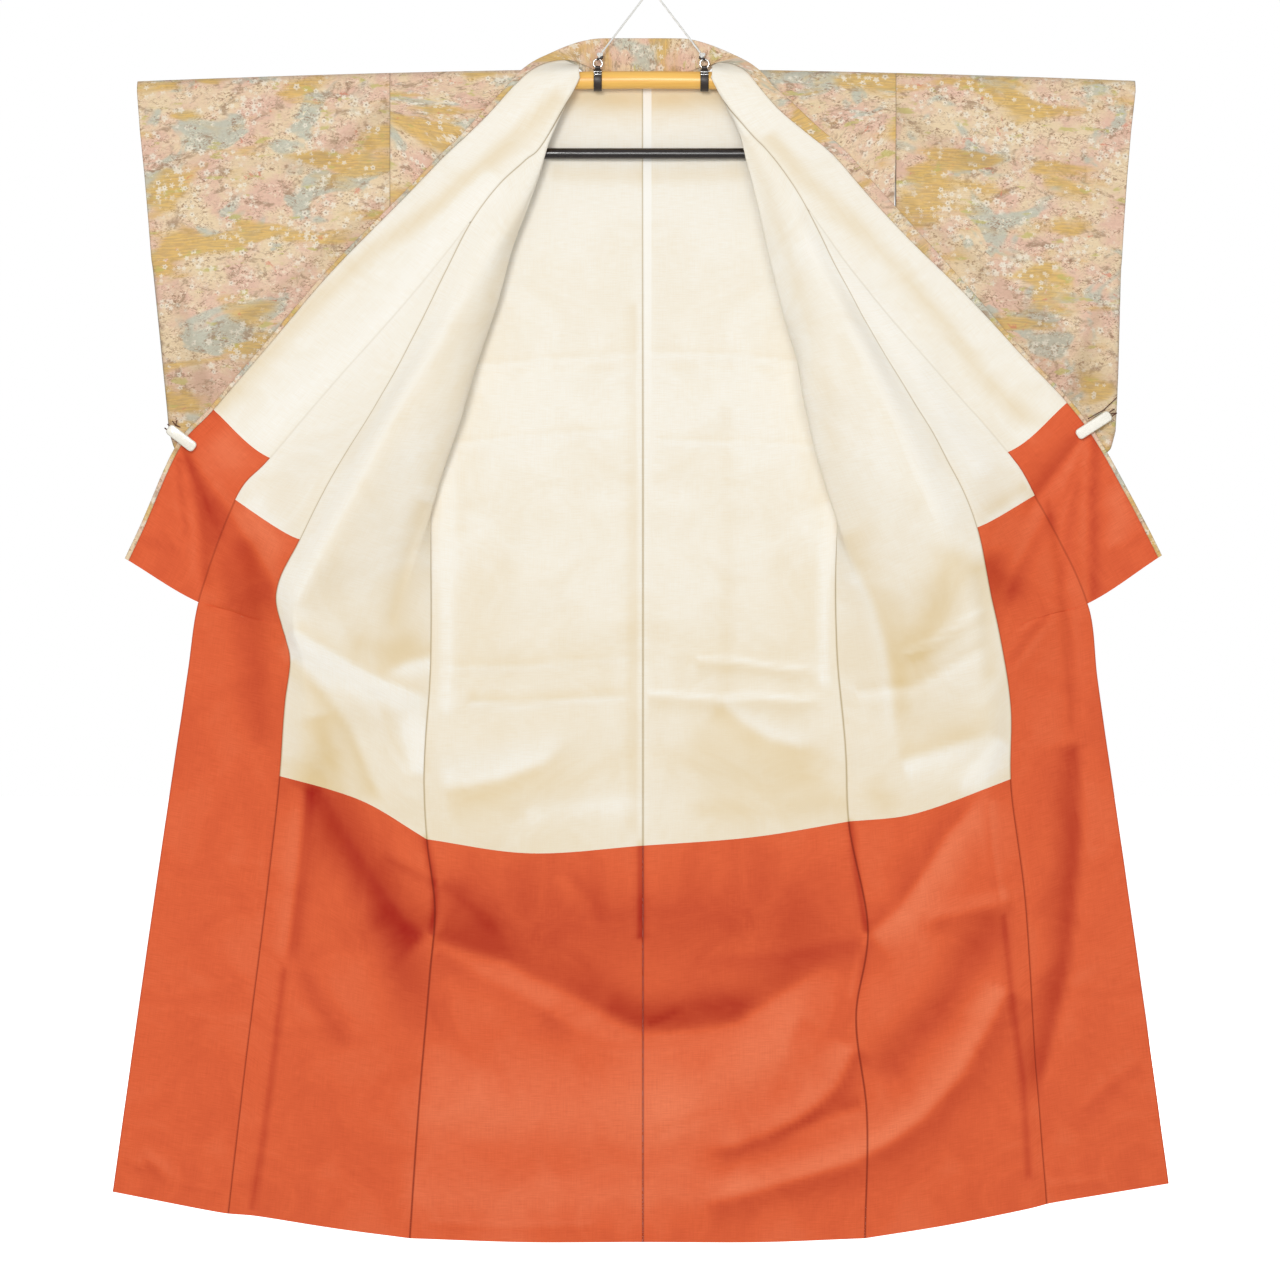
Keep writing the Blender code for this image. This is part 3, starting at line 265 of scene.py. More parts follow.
# Creases and soft folds: those of the back and the fronts alike, which run on from each other, and those of
# the fronts, of the back and of the sleeves. Each row is the height towards the viewer, the painted tone on
# the left and on the right of a line (painted shade below 0, painted light above), how far each reaches, and
# then the line's points, x and y. Reaches and points are in the photograph's pixels. A line is sharp at its
# first point and dies away at its last. Rows without height are painted shade and light alone.
PIXEL = 1.35  # in millimetres
PHOTO_AXIS = (643, 79.7)  # the middle of the rod's axis
SKIRT_FOLDS = (
    # The swag across the hem lining
    (0, -0.3, -0.3, 42, 42, 430, 880, 520, 912, 640, 925, 760, 910, 870, 885),
    (-4, -0.5, 0.2, 34, 30, 430, 938, 474, 953, 505, 962, 533, 978, 574, 996, 610, 1017, 642, 1033,
     684, 1031, 739, 1022, 780, 995, 812, 974, 845, 952),
    (-2, -0.35, -0.05, 22, 26, 867, 936, 834, 942, 803, 949, 744, 955, 684, 962),
    (0, -0.3, -0.3, 16, 16, 600, 1000, 642, 1016, 700, 1008, 770, 994),
    (-0.5, -0.4, 0.1, 5, 6, 648, 1027, 668, 1018, 687, 1008),
    (-5, -0.8, -0.45, 28, 26, 430, 938, 404, 916, 378, 880, 352, 840, 328, 795, 304, 735),
    (-0.8, -0.6, -0.6, 4, 4, 431, 937, 434, 912, 435, 887, 430, 860, 424, 832),
    (-0.8, -0.6, -0.6, 4, 4, 641, 942, 641, 900, 640, 838),
    (-0.8, -0.6, -0.6, 4, 4, 867, 934, 862, 905, 856, 868, 850, 816),
    (1, -0.35, 0.5, 7, 4, 867, 938, 859, 965, 852, 1005),
    (0, -0.35, -0.35, 26, 26, 372, 900, 396, 950, 410, 1000, 420, 1060),
    (-1, -0.15, -0.4, 10, 5, 437, 886, 401, 868, 376, 852),
    (-1.5, -0.35, -0.1, 12, 12, 437, 886, 455, 896, 474, 915, 503, 943),
    (1.5, 0.1, -0.3, 10, 20, 436, 946, 475, 972, 530, 1000, 590, 1035),
    (2, 0.45, 0.45, 40, 40, 400, 1090, 520, 1112, 620, 1108, 730, 1080),
    (2, 0.4, 0.4, 34, 34, 820, 1010, 750, 1065, 690, 1110, 620, 1150),
    (0, 0.35, 0.35, 28, 28, 390, 1185, 520, 1200, 640, 1195, 730, 1180),
    (0.6, 0.25, -0.2, 5, 6, 425, 1222, 500, 1227, 600, 1226),
    (0, -0.22, -0.22, 9, 9, 300, 968, 325, 1012, 352, 1052),
    (0, -0.2, 0.15, 12, 12, 560, 870, 590, 900, 600, 935),
    (3, -0.3, 0.65, 16, 28, 867, 936, 898, 910, 921, 878, 948, 833, 975, 801, 990, 780),
    (2, -0.3, 0.35, 14, 14, 1012, 898, 994, 904, 955, 914, 914, 921),
    (-3, -0.4, -0.4, 20, 20, 1005, 912, 962, 960, 939, 1001, 903, 1051, 871, 1087),
    (3, -0.35, 0.7, 24, 22, 1008, 985, 985, 1030, 960, 1075, 922, 1118, 885, 1145, 850, 1163, 800, 1178,
     740, 1195, 690, 1207),
    (2, -0.5, 0.5, 14, 22, 856, 1045, 836, 1087, 803, 1117, 766, 1138, 730, 1148, 695, 1146),
    (-1, 0.1, -0.4, 10, 12, 864, 1106, 825, 1117, 780, 1136, 735, 1150),
    (-1.5, -0.35, 0.15, 24, 9, 802, 1012, 788, 1040, 789, 1072),
    (-0.6, -0.25, 0.1, 7, 6, 655, 1135, 680, 1125, 725, 1110),
    # Creases that run down both fronts
    (-1.5, -0.6, 0.4, 11, 14, 307, 784, 302, 840, 296, 890, 290, 945, 286, 968),
    (-0.6, -0.4, -0.4, 3.5, 3.5, 285, 966, 272, 1080, 262, 1150, 252, 1212),
    (0.6, 0.35, -0.4, 6, 4, 987, 800, 991, 850, 997, 890, 1001, 905),
    (-0.6, -0.4, -0.4, 3.5, 3.5, 1002, 910, 1012, 1003, 1022, 1080, 1028, 1180),
)
FRONT_FOLDS = (
    # Creases of the flaps and down the fronts
    (-2, 0.1, -0.65, 18, 24, 1078, 740, 1081, 828, 1075, 905, 1069, 965, 1057, 1015, 1042, 1078, 1041, 1110),
    (-2, -0.35, -0.35, 16, 20, 242, 530, 250, 600, 256, 680, 262, 760),
    (-1.5, 0.1, -0.4, 12, 8, 1050, 495, 1060, 560, 1070, 640, 1076, 740),
    (0.6, 0.2, -0.3, 4, 5, 140, 537, 160, 542, 185, 546),
    (0, 0.5, 0.5, 20, 20, 212, 430, 238, 462, 256, 488),
    (0, 0.45, 0.45, 14, 14, 246, 500, 272, 536, 288, 566),
    (0, -0.3, -0.3, 10, 10, 204, 494, 214, 524, 218, 560),
    (-2.5, -0.35, 0.3, 12, 8, 181, 446, 188, 473, 197, 509, 200, 551, 204, 600),
    (-2.5, 0.3, -0.4, 12, 22, 184, 446, 207, 480, 229, 509, 251, 544, 272, 575, 290, 630),
    (0, -0.2, -0.2, 9, 9, 222, 552, 230, 580, 236, 620),
    (-0.6, -0.3, 0.25, 4, 5, 182, 449, 197, 486, 212, 520, 228, 548),
    (-0.6, -0.5, 0.3, 4, 5, 177, 456, 178, 484, 182, 510, 186, 540),
    (-2, -0.65, 0.35, 9, 9, 1091, 434, 1090, 466, 1088, 500, 1089, 545, 1090, 610),
    (-0.6, -0.5, 0.3, 4, 5, 1085, 440, 1073, 468, 1062, 492, 1050, 516),
    (-2, 0.3, -0.5, 10, 13, 1083, 437, 1061, 466, 1043, 489, 1022, 520),
    (0, 0.4, 0.4, 13, 13, 1046, 420, 1030, 436, 1016, 452),
    (0, 0.35, 0.35, 12, 12, 1114, 480, 1120, 520, 1112, 560),
    (-1, -0.3, 0.2, 8, 8, 1079, 462, 1069, 504, 1063, 540, 1056, 590),
    (-1.5, -0.45, -0.45, 16, 16, 988, 545, 1000, 580, 1010, 620),
    (-1, -0.35, 0.25, 12, 10, 1048, 510, 1030, 540, 1012, 575, 1000, 610),
    (0.6, 0.3, -0.3, 6, 8, 1052, 612, 1030, 640, 1010, 668),
    (0.8, 0.3, -0.3, 5, 6, 1106, 549, 1125, 541, 1147, 531),
    (0.8, 0.3, -0.3, 5, 6, 1020, 632, 1036, 622, 1052, 612),
    (1.5, 0.4, -0.3, 9, 8, 134, 1168, 150, 1159, 163, 1170, 171, 1186),
    (0.5, 0.25, -0.25, 3, 4, 176, 1180, 200, 1186, 228, 1190),
    (0.5, 0.25, -0.15, 3, 4, 205, 898, 235, 904, 263, 905),
    (0.5, 0.2, -0.2, 4, 5, 283, 966, 268, 955, 250, 945),
    (0.5, 0.3, -0.15, 3, 4, 190, 1014, 225, 1018, 251, 1023),
    (0.5, 0.3, -0.15, 3, 4, 225, 858, 250, 864, 266, 862),
    (0.5, 0.3, -0.2, 3, 5, 1108, 845, 1094, 847, 1080, 845),
    (0.6, 0.3, -0.2, 5, 6, 1046, 1184, 1080, 1181, 1112, 1178),
    (-1, -0.25, 0.15, 14, 14, 1140, 1060, 1105, 1085, 1070, 1120),
    # The collar's lining: its outer side in shade, its middle in the light
    (0, -0.5, -0.5, 12, 8, 565, 90, 500, 150, 440, 205, 370, 252, 318, 300, 262, 360, 205, 420),
    (0.8, 0.7, 0.7, 13, 13, 500, 175, 440, 240, 400, 300, 352, 352, 300, 395, 250, 450),
    (0, -0.4, -0.4, 8, 10, 765, 130, 800, 175, 850, 220, 900, 270, 945, 325, 990, 385, 1050, 440),
    (0.8, 0.7, 0.7, 12, 12, 800, 235, 876, 316, 915, 370, 950, 430, 990, 480),
    (0, 0.2, -0.45, 8, 12, 1030, 488, 1000, 508, 972, 526),
    # The fronts' folds, from below
    (1.5, 0.35, -0.25, 14, 28, 296, 608, 330, 543, 368, 471, 405, 402, 444, 335, 480, 275),
    (0, -0.3, -0.1, 12, 20, 430, 490, 452, 430, 478, 350, 505, 270, 530, 190),
    (-1.5, -0.2, -0.35, 12, 12, 428, 500, 412, 550, 400, 600, 392, 640),
    (4, -0.35, 0.9, 15, 20, 293, 628, 318, 645, 345, 661, 372, 676, 405, 690, 436, 700),
    (2, 0.6, -0.35, 16, 13, 437, 655, 408, 662, 374, 676),
    (1, 0.8, 0.8, 14, 14, 423, 778, 420, 745, 408, 705),
    (-2, 0.15, -0.45, 12, 12, 297, 655, 325, 690, 352, 728, 368, 770, 385, 805),
    (-1, -0.45, -0.35, 14, 18, 316, 712, 324, 748, 345, 785),
    (0, -0.35, -0.35, 13, 13, 345, 635, 385, 650, 430, 632),
    (-1.2, -0.2, 0.1, 10, 10, 372, 690, 390, 740, 414, 782),
    (1.5, 0.6, -0.15, 18, 16, 848, 326, 881, 394, 911, 464, 943, 537),
    (0, -0.1, -0.3, 14, 8, 745, 130, 770, 190, 790, 250, 812, 320, 828, 400, 836, 470),
    (-1.5, -0.5, -0.5, 24, 24, 962, 540, 940, 600, 915, 655, 900, 700),
    (1.2, -0.35, 0.3, 24, 12, 838, 532, 852, 560, 873, 600, 886, 647, 892, 690, 898, 755),
    (1.5, 0.45, -0.35, 5, 9, 903, 656, 935, 642, 960, 624, 988, 608),
    (-1, -0.3, 0.3, 9, 9, 855, 692, 885, 688, 911, 686, 945, 668, 990, 642),
    (1, -0.35, 0.5, 16, 22, 898, 762, 930, 752, 960, 742, 1000, 728),
    (1.5, 0.5, 0.5, 12, 12, 1002, 735, 985, 765, 955, 795),
    (-1, -0.3, -0.3, 10, 10, 975, 560, 985, 620, 988, 690),
    (0, -0.25, -0.25, 12, 12, 872, 770, 880, 795, 905, 815),
)
BACK_FOLDS = (
    # Painted shadows of the rod and the bar, painted shade and light beside the seam, then storage creases
    (0, -0.8, -0.8, 15, 15, 545, 94, 640, 98, 745, 94),
    (0, -0.35, -0.35, 10, 10, 545, 172, 640, 174, 755, 172),
    (0, 0.2, -0.4, 10, 8, 637, 300, 637, 500, 637, 650, 637, 840),
    (0, -0.25, -0.25, 24, 24, 680, 735, 760, 775, 850, 770),
    (0, -0.2, -0.2, 12, 12, 690, 808, 770, 812, 865, 798),
    (0, -0.12, -0.12, 8, 8, 727, 400, 728, 560, 726, 710),
    (0.5, 0.35, 0.35, 6, 6, 830, 500, 826, 560, 824, 620, 824, 690),
    (0.5, 0.35, 0.35, 8, 8, 448, 450, 447, 560, 447, 640, 447, 720),
    (-1.5, 0.4, -0.4, 28, 24, 440, 790, 500, 780, 545, 762, 576, 730),
    (0, 0.25, 0.25, 12, 12, 520, 818, 580, 808, 650, 802),
    (2, 0.65, -0.35, 4, 13, 694, 660, 740, 661, 780, 668, 824, 670),
    (2, 0.7, -0.35, 4, 15, 645, 693, 680, 696, 720, 699, 760, 697, 800, 700, 830, 696),
    (-1.5, 0.35, -0.4, 14, 22, 718, 700, 745, 724, 770, 738, 800, 746, 828, 738),
    (1.2, -0.4, 0.5, 9, 4, 466, 701, 520, 704, 575, 699, 610, 697, 634, 697),
    (1, -0.2, 0.3, 8, 4, 440, 664, 480, 668, 540, 665, 600, 659, 634, 656),
    (1.2, -0.3, 0.45, 6, 4, 462, 367, 530, 361, 630, 354),
    (1.2, -0.3, 0.45, 6, 4, 650, 352, 720, 354, 800, 362),
    (0.8, -0.15, 0.2, 5, 4, 455, 378, 530, 373, 630, 370),
    (0.8, -0.15, 0.2, 5, 4, 650, 370, 720, 371, 806, 377),
    (1.2, -0.3, 0.45, 6, 4, 452, 444, 520, 437, 625, 430),
    (1.2, -0.3, 0.45, 6, 4, 655, 440, 740, 443, 826, 446),
    (0.8, -0.15, 0.2, 4, 3, 706, 340, 706, 400, 704, 455),
)
SLEEVE_FOLDS = (
    (2.5, -0.35, 0.2, 16, 14, 385, 96, 352, 128, 318, 150, 270, 165),
    (2.5, 0.2, -0.35, 14, 16, 893, 98, 930, 126, 970, 148, 1020, 160),
    (3, -0.3, 0.2, 16, 20, 386, 190, 330, 240, 262, 296, 190, 350),
    (3, 0.2, -0.3, 20, 16, 895, 190, 960, 240, 1030, 300, 1090, 345),
    (2, -0.3, 0.15, 14, 16, 215, 395, 196, 340, 180, 270),
    (2, 0.15, -0.3, 16, 14, 1064, 398, 1082, 340, 1100, 280),
    (0, -0.3, -0.3, 38, 38, 150, 410, 230, 380, 310, 330),
    (0, -0.3, -0.3, 38, 38, 1120, 410, 1060, 370, 980, 320),
    (0, -0.3, -0.3, 10, 10, 396, 95, 394, 140, 392, 190),
    (0, -0.3, -0.3, 10, 10, 888, 95, 889, 140, 890, 190),
    (1.5, 0.1, -0.1, 12, 12, 150, 150, 240, 156, 340, 150),
    (1.5, 0.1, -0.1, 12, 12, 940, 152, 1030, 158, 1125, 150),
)
FOLD_EDGE = 6.0  # half the width of the change between a line's two tones
# The gradual painted shade down the cream lining: z, tone
PAINTED_SHADE_BY_HEIGHT = (
    (-1050, -0.35), (-1000, -0.38), (-905, -0.42), (-810, -0.32), (-700, -0.24), (-608, -0.15), (-473, -0.05),
    (-350, 0.0), (60, 0.0),
)


# Curves through the tables


def hermite(start, end, start_slope, end_slope, share):
    s2, s3 = share * share, share**3
    return (
        start * (2 * s3 - 3 * s2 + 1)
        + start_slope * (s3 - 2 * s2 + share)
        + end * (3 * s2 - 2 * s3)
        + end_slope * (s3 - s2)
    )


tables = {}


def on_guide(rows, level):
    """Values of a table at a level, on a smooth curve through its rows."""
    if id(rows) not in tables:
        table = np.array(rows, float)
        tables[id(rows)] = table[:, 0], table[:, 1:], np.gradient(table[:, 1:], table[:, 0], axis=0)
    knots, values, slopes = tables[id(rows)]
    level = min(max(level, knots[0]), knots[-1])
    i = int(min(max(np.searchsorted(knots, level) - 1, 0), len(knots) - 2))
    span = knots[i + 1] - knots[i]
    share = (level - knots[i]) / span
    return hermite(values[i], values[i + 1], slopes[i] * span, slopes[i + 1] * span, share)


def on_row(points, spots):
    """Points on the smooth line through a row's guide points, at spots numbered along them."""
    points, spots = np.asarray(points, float), np.asarray(spots, float)
    lengths = np.linalg.norm(np.diff(points, axis=0), axis=1)
    slope = np.gradient(points, np.concatenate([[0], np.cumsum(lengths)]), axis=0)
    unit = slope / np.linalg.norm(slope, axis=1)[:, None]
    reach = np.minimum(np.append(lengths, np.inf), np.insert(lengths, 0, np.inf))
    i = np.minimum(spots, len(lengths) - 1).astype(int)
    start = unit[i] * np.minimum(lengths[i], 1.5 * reach[i])[:, None]
    end = unit[i + 1] * np.minimum(lengths[i], 1.5 * reach[i + 1])[:, None]
    return hermite(points[i], points[i + 1], start, end, (spots - i)[:, None])


def guides_of(side):
    return LEFT if side < 0 else RIGHT


def rod_axis(x):
    return -ROD_DROOP * (np.abs(x) / ROD_HALF_LENGTH) ** DROOP_POWER


def smooth_step(value, low, high):
    share = np.clip((value - low) / (high - low), 0, 1)
    return share * share * (3 - 2 * share)


def opened(level):
    return smooth_step(level, SEAM_FLAT, SEAM_OPENS)


def sleeve_depth(z):
    return ROD_CLOTH_RADIUS + (ROD_CLOTH_RADIUS - SLEEVE_BOTTOM_HALF_DEPTH) * z / SLEEVE_LENGTH


def side_point(side, level, front):
    point = on_guide(guides_of(side)["side"], level)
    share = np.clip((point[2] - SEAM_NARROWED) / (SEAM_NARROWS - SEAM_NARROWED), 0, 1)
    step = (SEAM_STEP + (sleeve_depth(point[2]) - SEAM_STEP) * share) * opened(level)
    point[1] += -step if front else step
    return point


def front_row(side, level):
    guides = guides_of(side)
    row = [side_point(side, level, True)]
    row += [on_guide(guides[name], level) for name in ("fold", "crease", "seam")]
    if level < KENSAKI:
        row.append(on_guide(guides["edge"], level))
    if level >= COLLAR_END:
        row.append(on_guide(guides["collar"], level))
    return np.array(row)


def back_row(side, level):
    return np.array([
        side_point(side, level, False),
        on_guide(guides_of(side)["back"], level),
        on_guide(BACK_CENTRE, level),
        on_guide(guides_of(-side)["back"], level),
    ])


def front_points(side, level):
    """Points across a whole front at a level, from the side seam to the collar's edge."""
    row = front_row(side, level)
    spots = BODY_SPOTS
    if level < KENSAKI:
        spots = np.append(spots, 3 + PANEL_SHARES[1:])
    if level >= COLLAR_END:
        spots = np.append(spots, spots[-1] + COLLAR_SHARES[1:])
    points = on_row(row, spots)
    if TIP_STARTS < level < KENSAKI:
        share = smooth_step(level, TIP_STARTS, KENSAKI)
        before, after = spots < 3, spots > 4
        without_edge = on_row(np.delete(row, 4, axis=0), spots[before])
        points[before] += (without_edge - points[before]) * share
        without_seam = on_row(np.delete(row, 3, axis=0), spots[after] - 1)
        points[after] += (without_seam - points[after]) * share
    return points


def back_points(side, level):
    """Points across half the back at a level, from the side seam to the centre."""
    row = back_row(side, level)
    first, second = np.linalg.norm(np.diff(row[:3], axis=0), axis=1)
    along = BACK_SHARES * (first + second)
    return on_row(row, np.where(along <= first, along / first, 1 + (along - first) / second))


def across_of(points, way_in):
    """The way across the cloth at each point of a line, which begins with the way in from its neighbour."""
    ways = np.vstack([way_in, np.diff(points, axis=0)])
    ways /= np.linalg.norm(ways, axis=1)[:, None]
    after = np.vstack([ways[1:], ways[-1:]])
    if ways[0] @ after[0] < 0:
        ways[0] = after[0]
    across = ways + after
    return across / np.linalg.norm(across, axis=1)[:, None]


LEVELS = sorted(
    set(np.round(np.arange(0, SHOULDER, LEVEL_STEP), 3))
    | {HEM_LINING_TOP, COLLAR_END, OVERLAP_LINING_TOP, COLLAR_LINING_END, OVERLAP_TIP, KENSAKI, SHOULDER}
)
lines = {}
for side in (-1, 1):
    for level in LEVELS:
        front, back = front_points(side, level), back_points(side, level)
        lines[side, level, "front"] = front, across_of(front, back[0] - back[1])
        lines[side, level, "back"] = back, across_of(back, front[0] - front[1])


def unit(vectors):
    return vectors / np.linalg.norm(vectors, axis=-1, keepdims=True)


def levels_between(low, high):
    return [level for level in LEVELS if low <= level <= high]


class Sheet:
    """A grid of points of the cloth's outer face, with the direction from each to the lining, how far the
    cloth stands off that way, and the painted shade and light of its folds."""

    def __init__(self, points, normals, lift=None, tone=None):
        self.points, self.normals = points, normals
        self.lift = np.zeros(points.shape[:2]) if lift is None else lift
        self.tone = np.zeros(points.shape[:2]) if tone is None else tone

    def rows(self, order):
        return Sheet(self.points[order], self.normals[order], self.lift[order], self.tone[order])


def joined(*sheets):
    """One sheet of some whose rows follow each other."""
    parts = zip(*((each.points, each.normals, each.lift, each.tone) for each in sheets))
    return Sheet(*(np.concatenate(part) for part in parts))


def panel(side, kind, low, high):
    """A panel's sheet between two levels. Kind is body, overlap or collar for the front, or back."""
    levels = levels_between(low, high)
    points, across = [], []
    for level in levels:
        line, ways = lines[side, level, "back" if kind == "back" else "front"]
        body = len(BODY_SPOTS)
        overlap = body + (len(PANEL_SHARES) - 1 if level < KENSAKI else 0)
        part = {
            "body": slice(0, body),
            "overlap": slice(body - 1, overlap),
            "collar": slice(overlap - 1, None),
            "back": slice(None),
        }[kind]
        points.append(line[part])
        across.append(ways[part])
    points, across = np.array(points), np.array(across)
    upward = unit(np.gradient(points, np.array(levels), axis=0))
    normals = unit(np.cross(across, upward)) * (-side if kind == "back" else side)
    points[:, 0] += across[:, 0] * SEAM_HALF_GAP
    points[:, -1] -= across[:, -1] * SEAM_HALF_GAP
    return Sheet(points, normals, *lift_and_tone(points, np.array(levels)[:, None], kind))


# Creases


def to_line(places, line):
    """Each place's distance to a line of points, above 0 on its left, and its way from the start and the
    end."""
    line = np.array(line, float)
    lengths = np.linalg.norm(np.diff(line, axis=0), axis=1)
    starts = np.concatenate([[0], np.cumsum(lengths)])
    nearest = np.full(places.shape[:-1], np.inf)
    along = np.zeros_like(nearest)
    for a, b, length, start in zip(line, line[1:], lengths, starts):
        share = np.clip(((places - a) @ (b - a)) / length**2, 0, 1)
        offset = places - a - share[..., None] * (b - a)
        distance = np.linalg.norm(offset, axis=-1) + 1e-6
        distance *= np.where(offset @ np.array((a[1] - b[1], b[0] - a[0])) < 0, -1, 1)
        closer = np.abs(distance) < np.abs(nearest)
        nearest = np.where(closer, distance, nearest)
        along = np.where(closer, start + share * length, along)
    return nearest, along, starts[-1] - along


def folds_at(points, folds):
    """Height of some folds at points, and the painted shade and light along them."""
    places = points[..., [0, 2]]
    height, tone = np.zeros(points.shape[:-1]), np.zeros(points.shape[:-1])
    for rise, left, right, *measured in folds:
        left_reach, right_reach = np.round(np.multiply(measured[:2], PIXEL))
        line = np.round((np.reshape(measured[2:], (-1, 2)) - PHOTO_AXIS) * (PIXEL, -PIXEL))
        distance, from_start, to_end = to_line(places, line)
        reach = max(left_reach, right_reach)
        start_fades = reach if left == right else 0.4 * reach
        ends = smooth_step(from_start, 0, start_fades) * smooth_step(to_end, 0, 2 * reach)
        far = np.abs(distance) / np.where(distance > 0, left_reach, right_reach)
        leftward = 0.5 + 0.5 * np.tanh(distance / FOLD_EDGE)
        height += rise * ends * np.exp(-2 * far**2)
        tone += ends * (right + (left - right) * leftward) * np.exp(-(far**2))
    return height, tone


def unevenness(points, height, size, seed):
    """Gentle waves of about a height and a size."""
    random = np.random.default_rng(seed)
    total = np.zeros(points.shape[:-1])
    for _ in range(WAVE_COUNT):
        angle, phase = random.uniform(0, 2 * math.pi, 2)
        turns = 2 * math.pi / (size * random.uniform(0.7, 1.6))
        way = np.array((math.cos(angle), math.sin(angle))) * turns
        total += np.sin(points[..., [0, 2]] @ way + phase)
    return height * (total / (WAVE_COUNT / 2))


def lift_and_tone(points, levels, kind):
    """How far a panel stands off its guide surface, towards its lining, and the painted shade and light of
    its folds.
    """
    beside_seam = 1 - smooth_step(*BESIDE_SEAM[kind]) if kind in BESIDE_SEAM else 0.0
    hidden = smooth_step(levels, *LAYERS_MEET) * beside_seam
    height, tone = folds_at(points, SKIRT_FOLDS + (BACK_FOLDS if kind == "back" else FRONT_FOLDS))
    height += unevenness(points, *PANEL_WAVE)
    return height * (1 - hidden) * smooth_step(SHOULDER - levels, 0, 12), tone


# Meshes


def in_frame(points):
    """From the garment's millimetres to the frame's metres."""
    return (np.asarray(points, float) - RING_AT) * MM


def quads(index, flip):
    a, b, c, d = index[:-1, :-1], index[:-1, 1:], index[1:, 1:], index[1:, :-1]
    return np.stack((a, d, c, b) if flip else (a, b, c, d), axis=-1).reshape(-1, 4)


def linked(name, data):
    obj = bpy.data.objects.new(name, data)
    bpy.context.scene.collection.objects.link(obj)
    return obj


def new_mesh(name, vertices, faces, maps, materials):
    """Mesh object from arrays. Maps are UV maps by name, with a value for each vertex."""
    data = bpy.data.meshes.new(name)
    data.vertices.add(len(vertices))
    data.vertices.foreach_set("co", vertices.ravel())
    data.loops.add(faces.size)
    data.loops.foreach_set("vertex_index", faces.ravel())
    data.polygons.add(len(faces))
    data.polygons.foreach_set("loop_start", np.arange(len(faces)) * 4)
    for key, values in maps.items():
        layer = data.uv_layers.new(name=key)
        layer.uv.foreach_set("vector", values[faces.ravel()].ravel())
    for material in materials:
        data.materials.append(material)
    data.update(calc_edges=True)
    data.validate()
    data.shade_smooth()
    data.set_sharp_from_angle(angle=math.radians(60))
    return linked(name, data)


def distances(points, axis):
    """Distance along a grid from its first row or column."""
    steps = np.linalg.norm(np.diff(points, axis=axis), axis=-1)
    start = np.zeros_like(steps[:1] if axis == 0 else steps[:, :1])
    return np.concatenate([start, np.cumsum(steps, axis=axis)], axis=axis)


def tone_map(tone, points):
    """The folds' painted shade and light, and the gradual painted shade down the cream lining, both moved up
    by 1 to stay above 0.
    """
    painted_shade_down = np.interp(points[..., 2], *np.array(PAINTED_SHADE_BY_HEIGHT, float).T)
    return np.stack([1 + np.clip(tone, -1, 1), 1 + painted_shade_down], axis=-1)


def thread_maps(points, across, tone, grid):
    """UV maps of a grid of points: metres along the threads, the ways from its two sides, and its painted
    shade and light.
    """
    sides = np.stack([across, across[:, -1:] - across], axis=-1)
    return {"UVMap": grid * MM, "across": sides * MM, "tone": tone_map(tone, points)}


def shell_parts(sheet, layer, start, origin):
    """Vertices, faces and maps of one closed layer of cloth, whose vertices are numbered from start on."""
    points, normals, lift = sheet.points, sheet.normals, sheet.lift
    across, along = distances(points, 1), distances(points, 0)
    to_edge = np.minimum(across, across[:, -1:] - across)
    dip = SEAM_DIP * np.exp(-((to_edge / SEAM_DIP_WIDTH) ** 2))
    layers = []
    for out in (layer[0] + dip, layer[1] - dip):
        layers.append(in_frame(points + normals * (lift + out)[..., None]).reshape(-1, 3))
    rows, columns = lift.shape
    index = np.arange(rows * columns).reshape(rows, columns) + start
    first = layers[0][:columns + 2]
    facing = np.cross(first[1] - first[0], layers[0][columns] - first[0]) @ normals[0, 0]
    rim = np.concatenate([index[0, :-1], index[:-1, -1], index[-1, :0:-1], index[:0:-1, 0]])
    other = rim + rows * columns
    ends = np.stack([np.roll(rim, -1), rim, other, np.roll(other, -1)], axis=-1)
    if facing < 0:
        ends = ends[:, ::-1]
    faces = np.vstack([quads(index, facing > 0), quads(index + rows * columns, facing < 0), ends])
    grid = np.stack([across[:, -1:] - across, along[:, -1:] + 0 * along], axis=-1) + origin
    maps = thread_maps(points, across, sheet.tone, grid)
    doubled = {key: np.concatenate([value.reshape(-1, 2)] * 2) for key, value in maps.items()}
    return np.concatenate(layers), faces, doubled


def cloth(node, slot, material, layer, flat, area, sheets, origins=((0, 0),)):
    """A piece of cloth, of one or more sheets that meet. Origins are their places in the cloth's design."""
    parts, start = [], 0
    for sheet, origin in zip(sheets, origins):
        parts.append(shell_parts(sheet, layer, start, origin))
        start += len(parts[-1][0])
    vertices, faces, maps = zip(*parts)
    maps = {key: np.concatenate([each[key] for each in maps]) for key in maps[0]}
    piece = new_mesh(f"{node}_cloth", np.concatenate(vertices), np.concatenate(faces), maps, [material])
    sheet_piece(piece, slot, node)


def over_rod(side):
    """The body's rows over the rod, from behind it to the front."""
    x = on_row(front_row(side, SHOULDER), BODY_SPOTS)[:, 0]
    x[0] -= side * SEAM_HALF_GAP
    x[-1] += side * SEAM_HALF_GAP
    angles = np.linspace(0, math.pi, ROD_STEPS + 1)[:-1, None]
    outward = np.stack([0 * angles + 0 * x, np.cos(angles) + 0 * x, np.sin(angles) + 0 * x], axis=-1)
    axis = np.stack([x, 0 * x, rod_axis(x)], axis=-1)
    return Sheet(axis + outward * ROD_CLOTH_RADIUS, -outward)


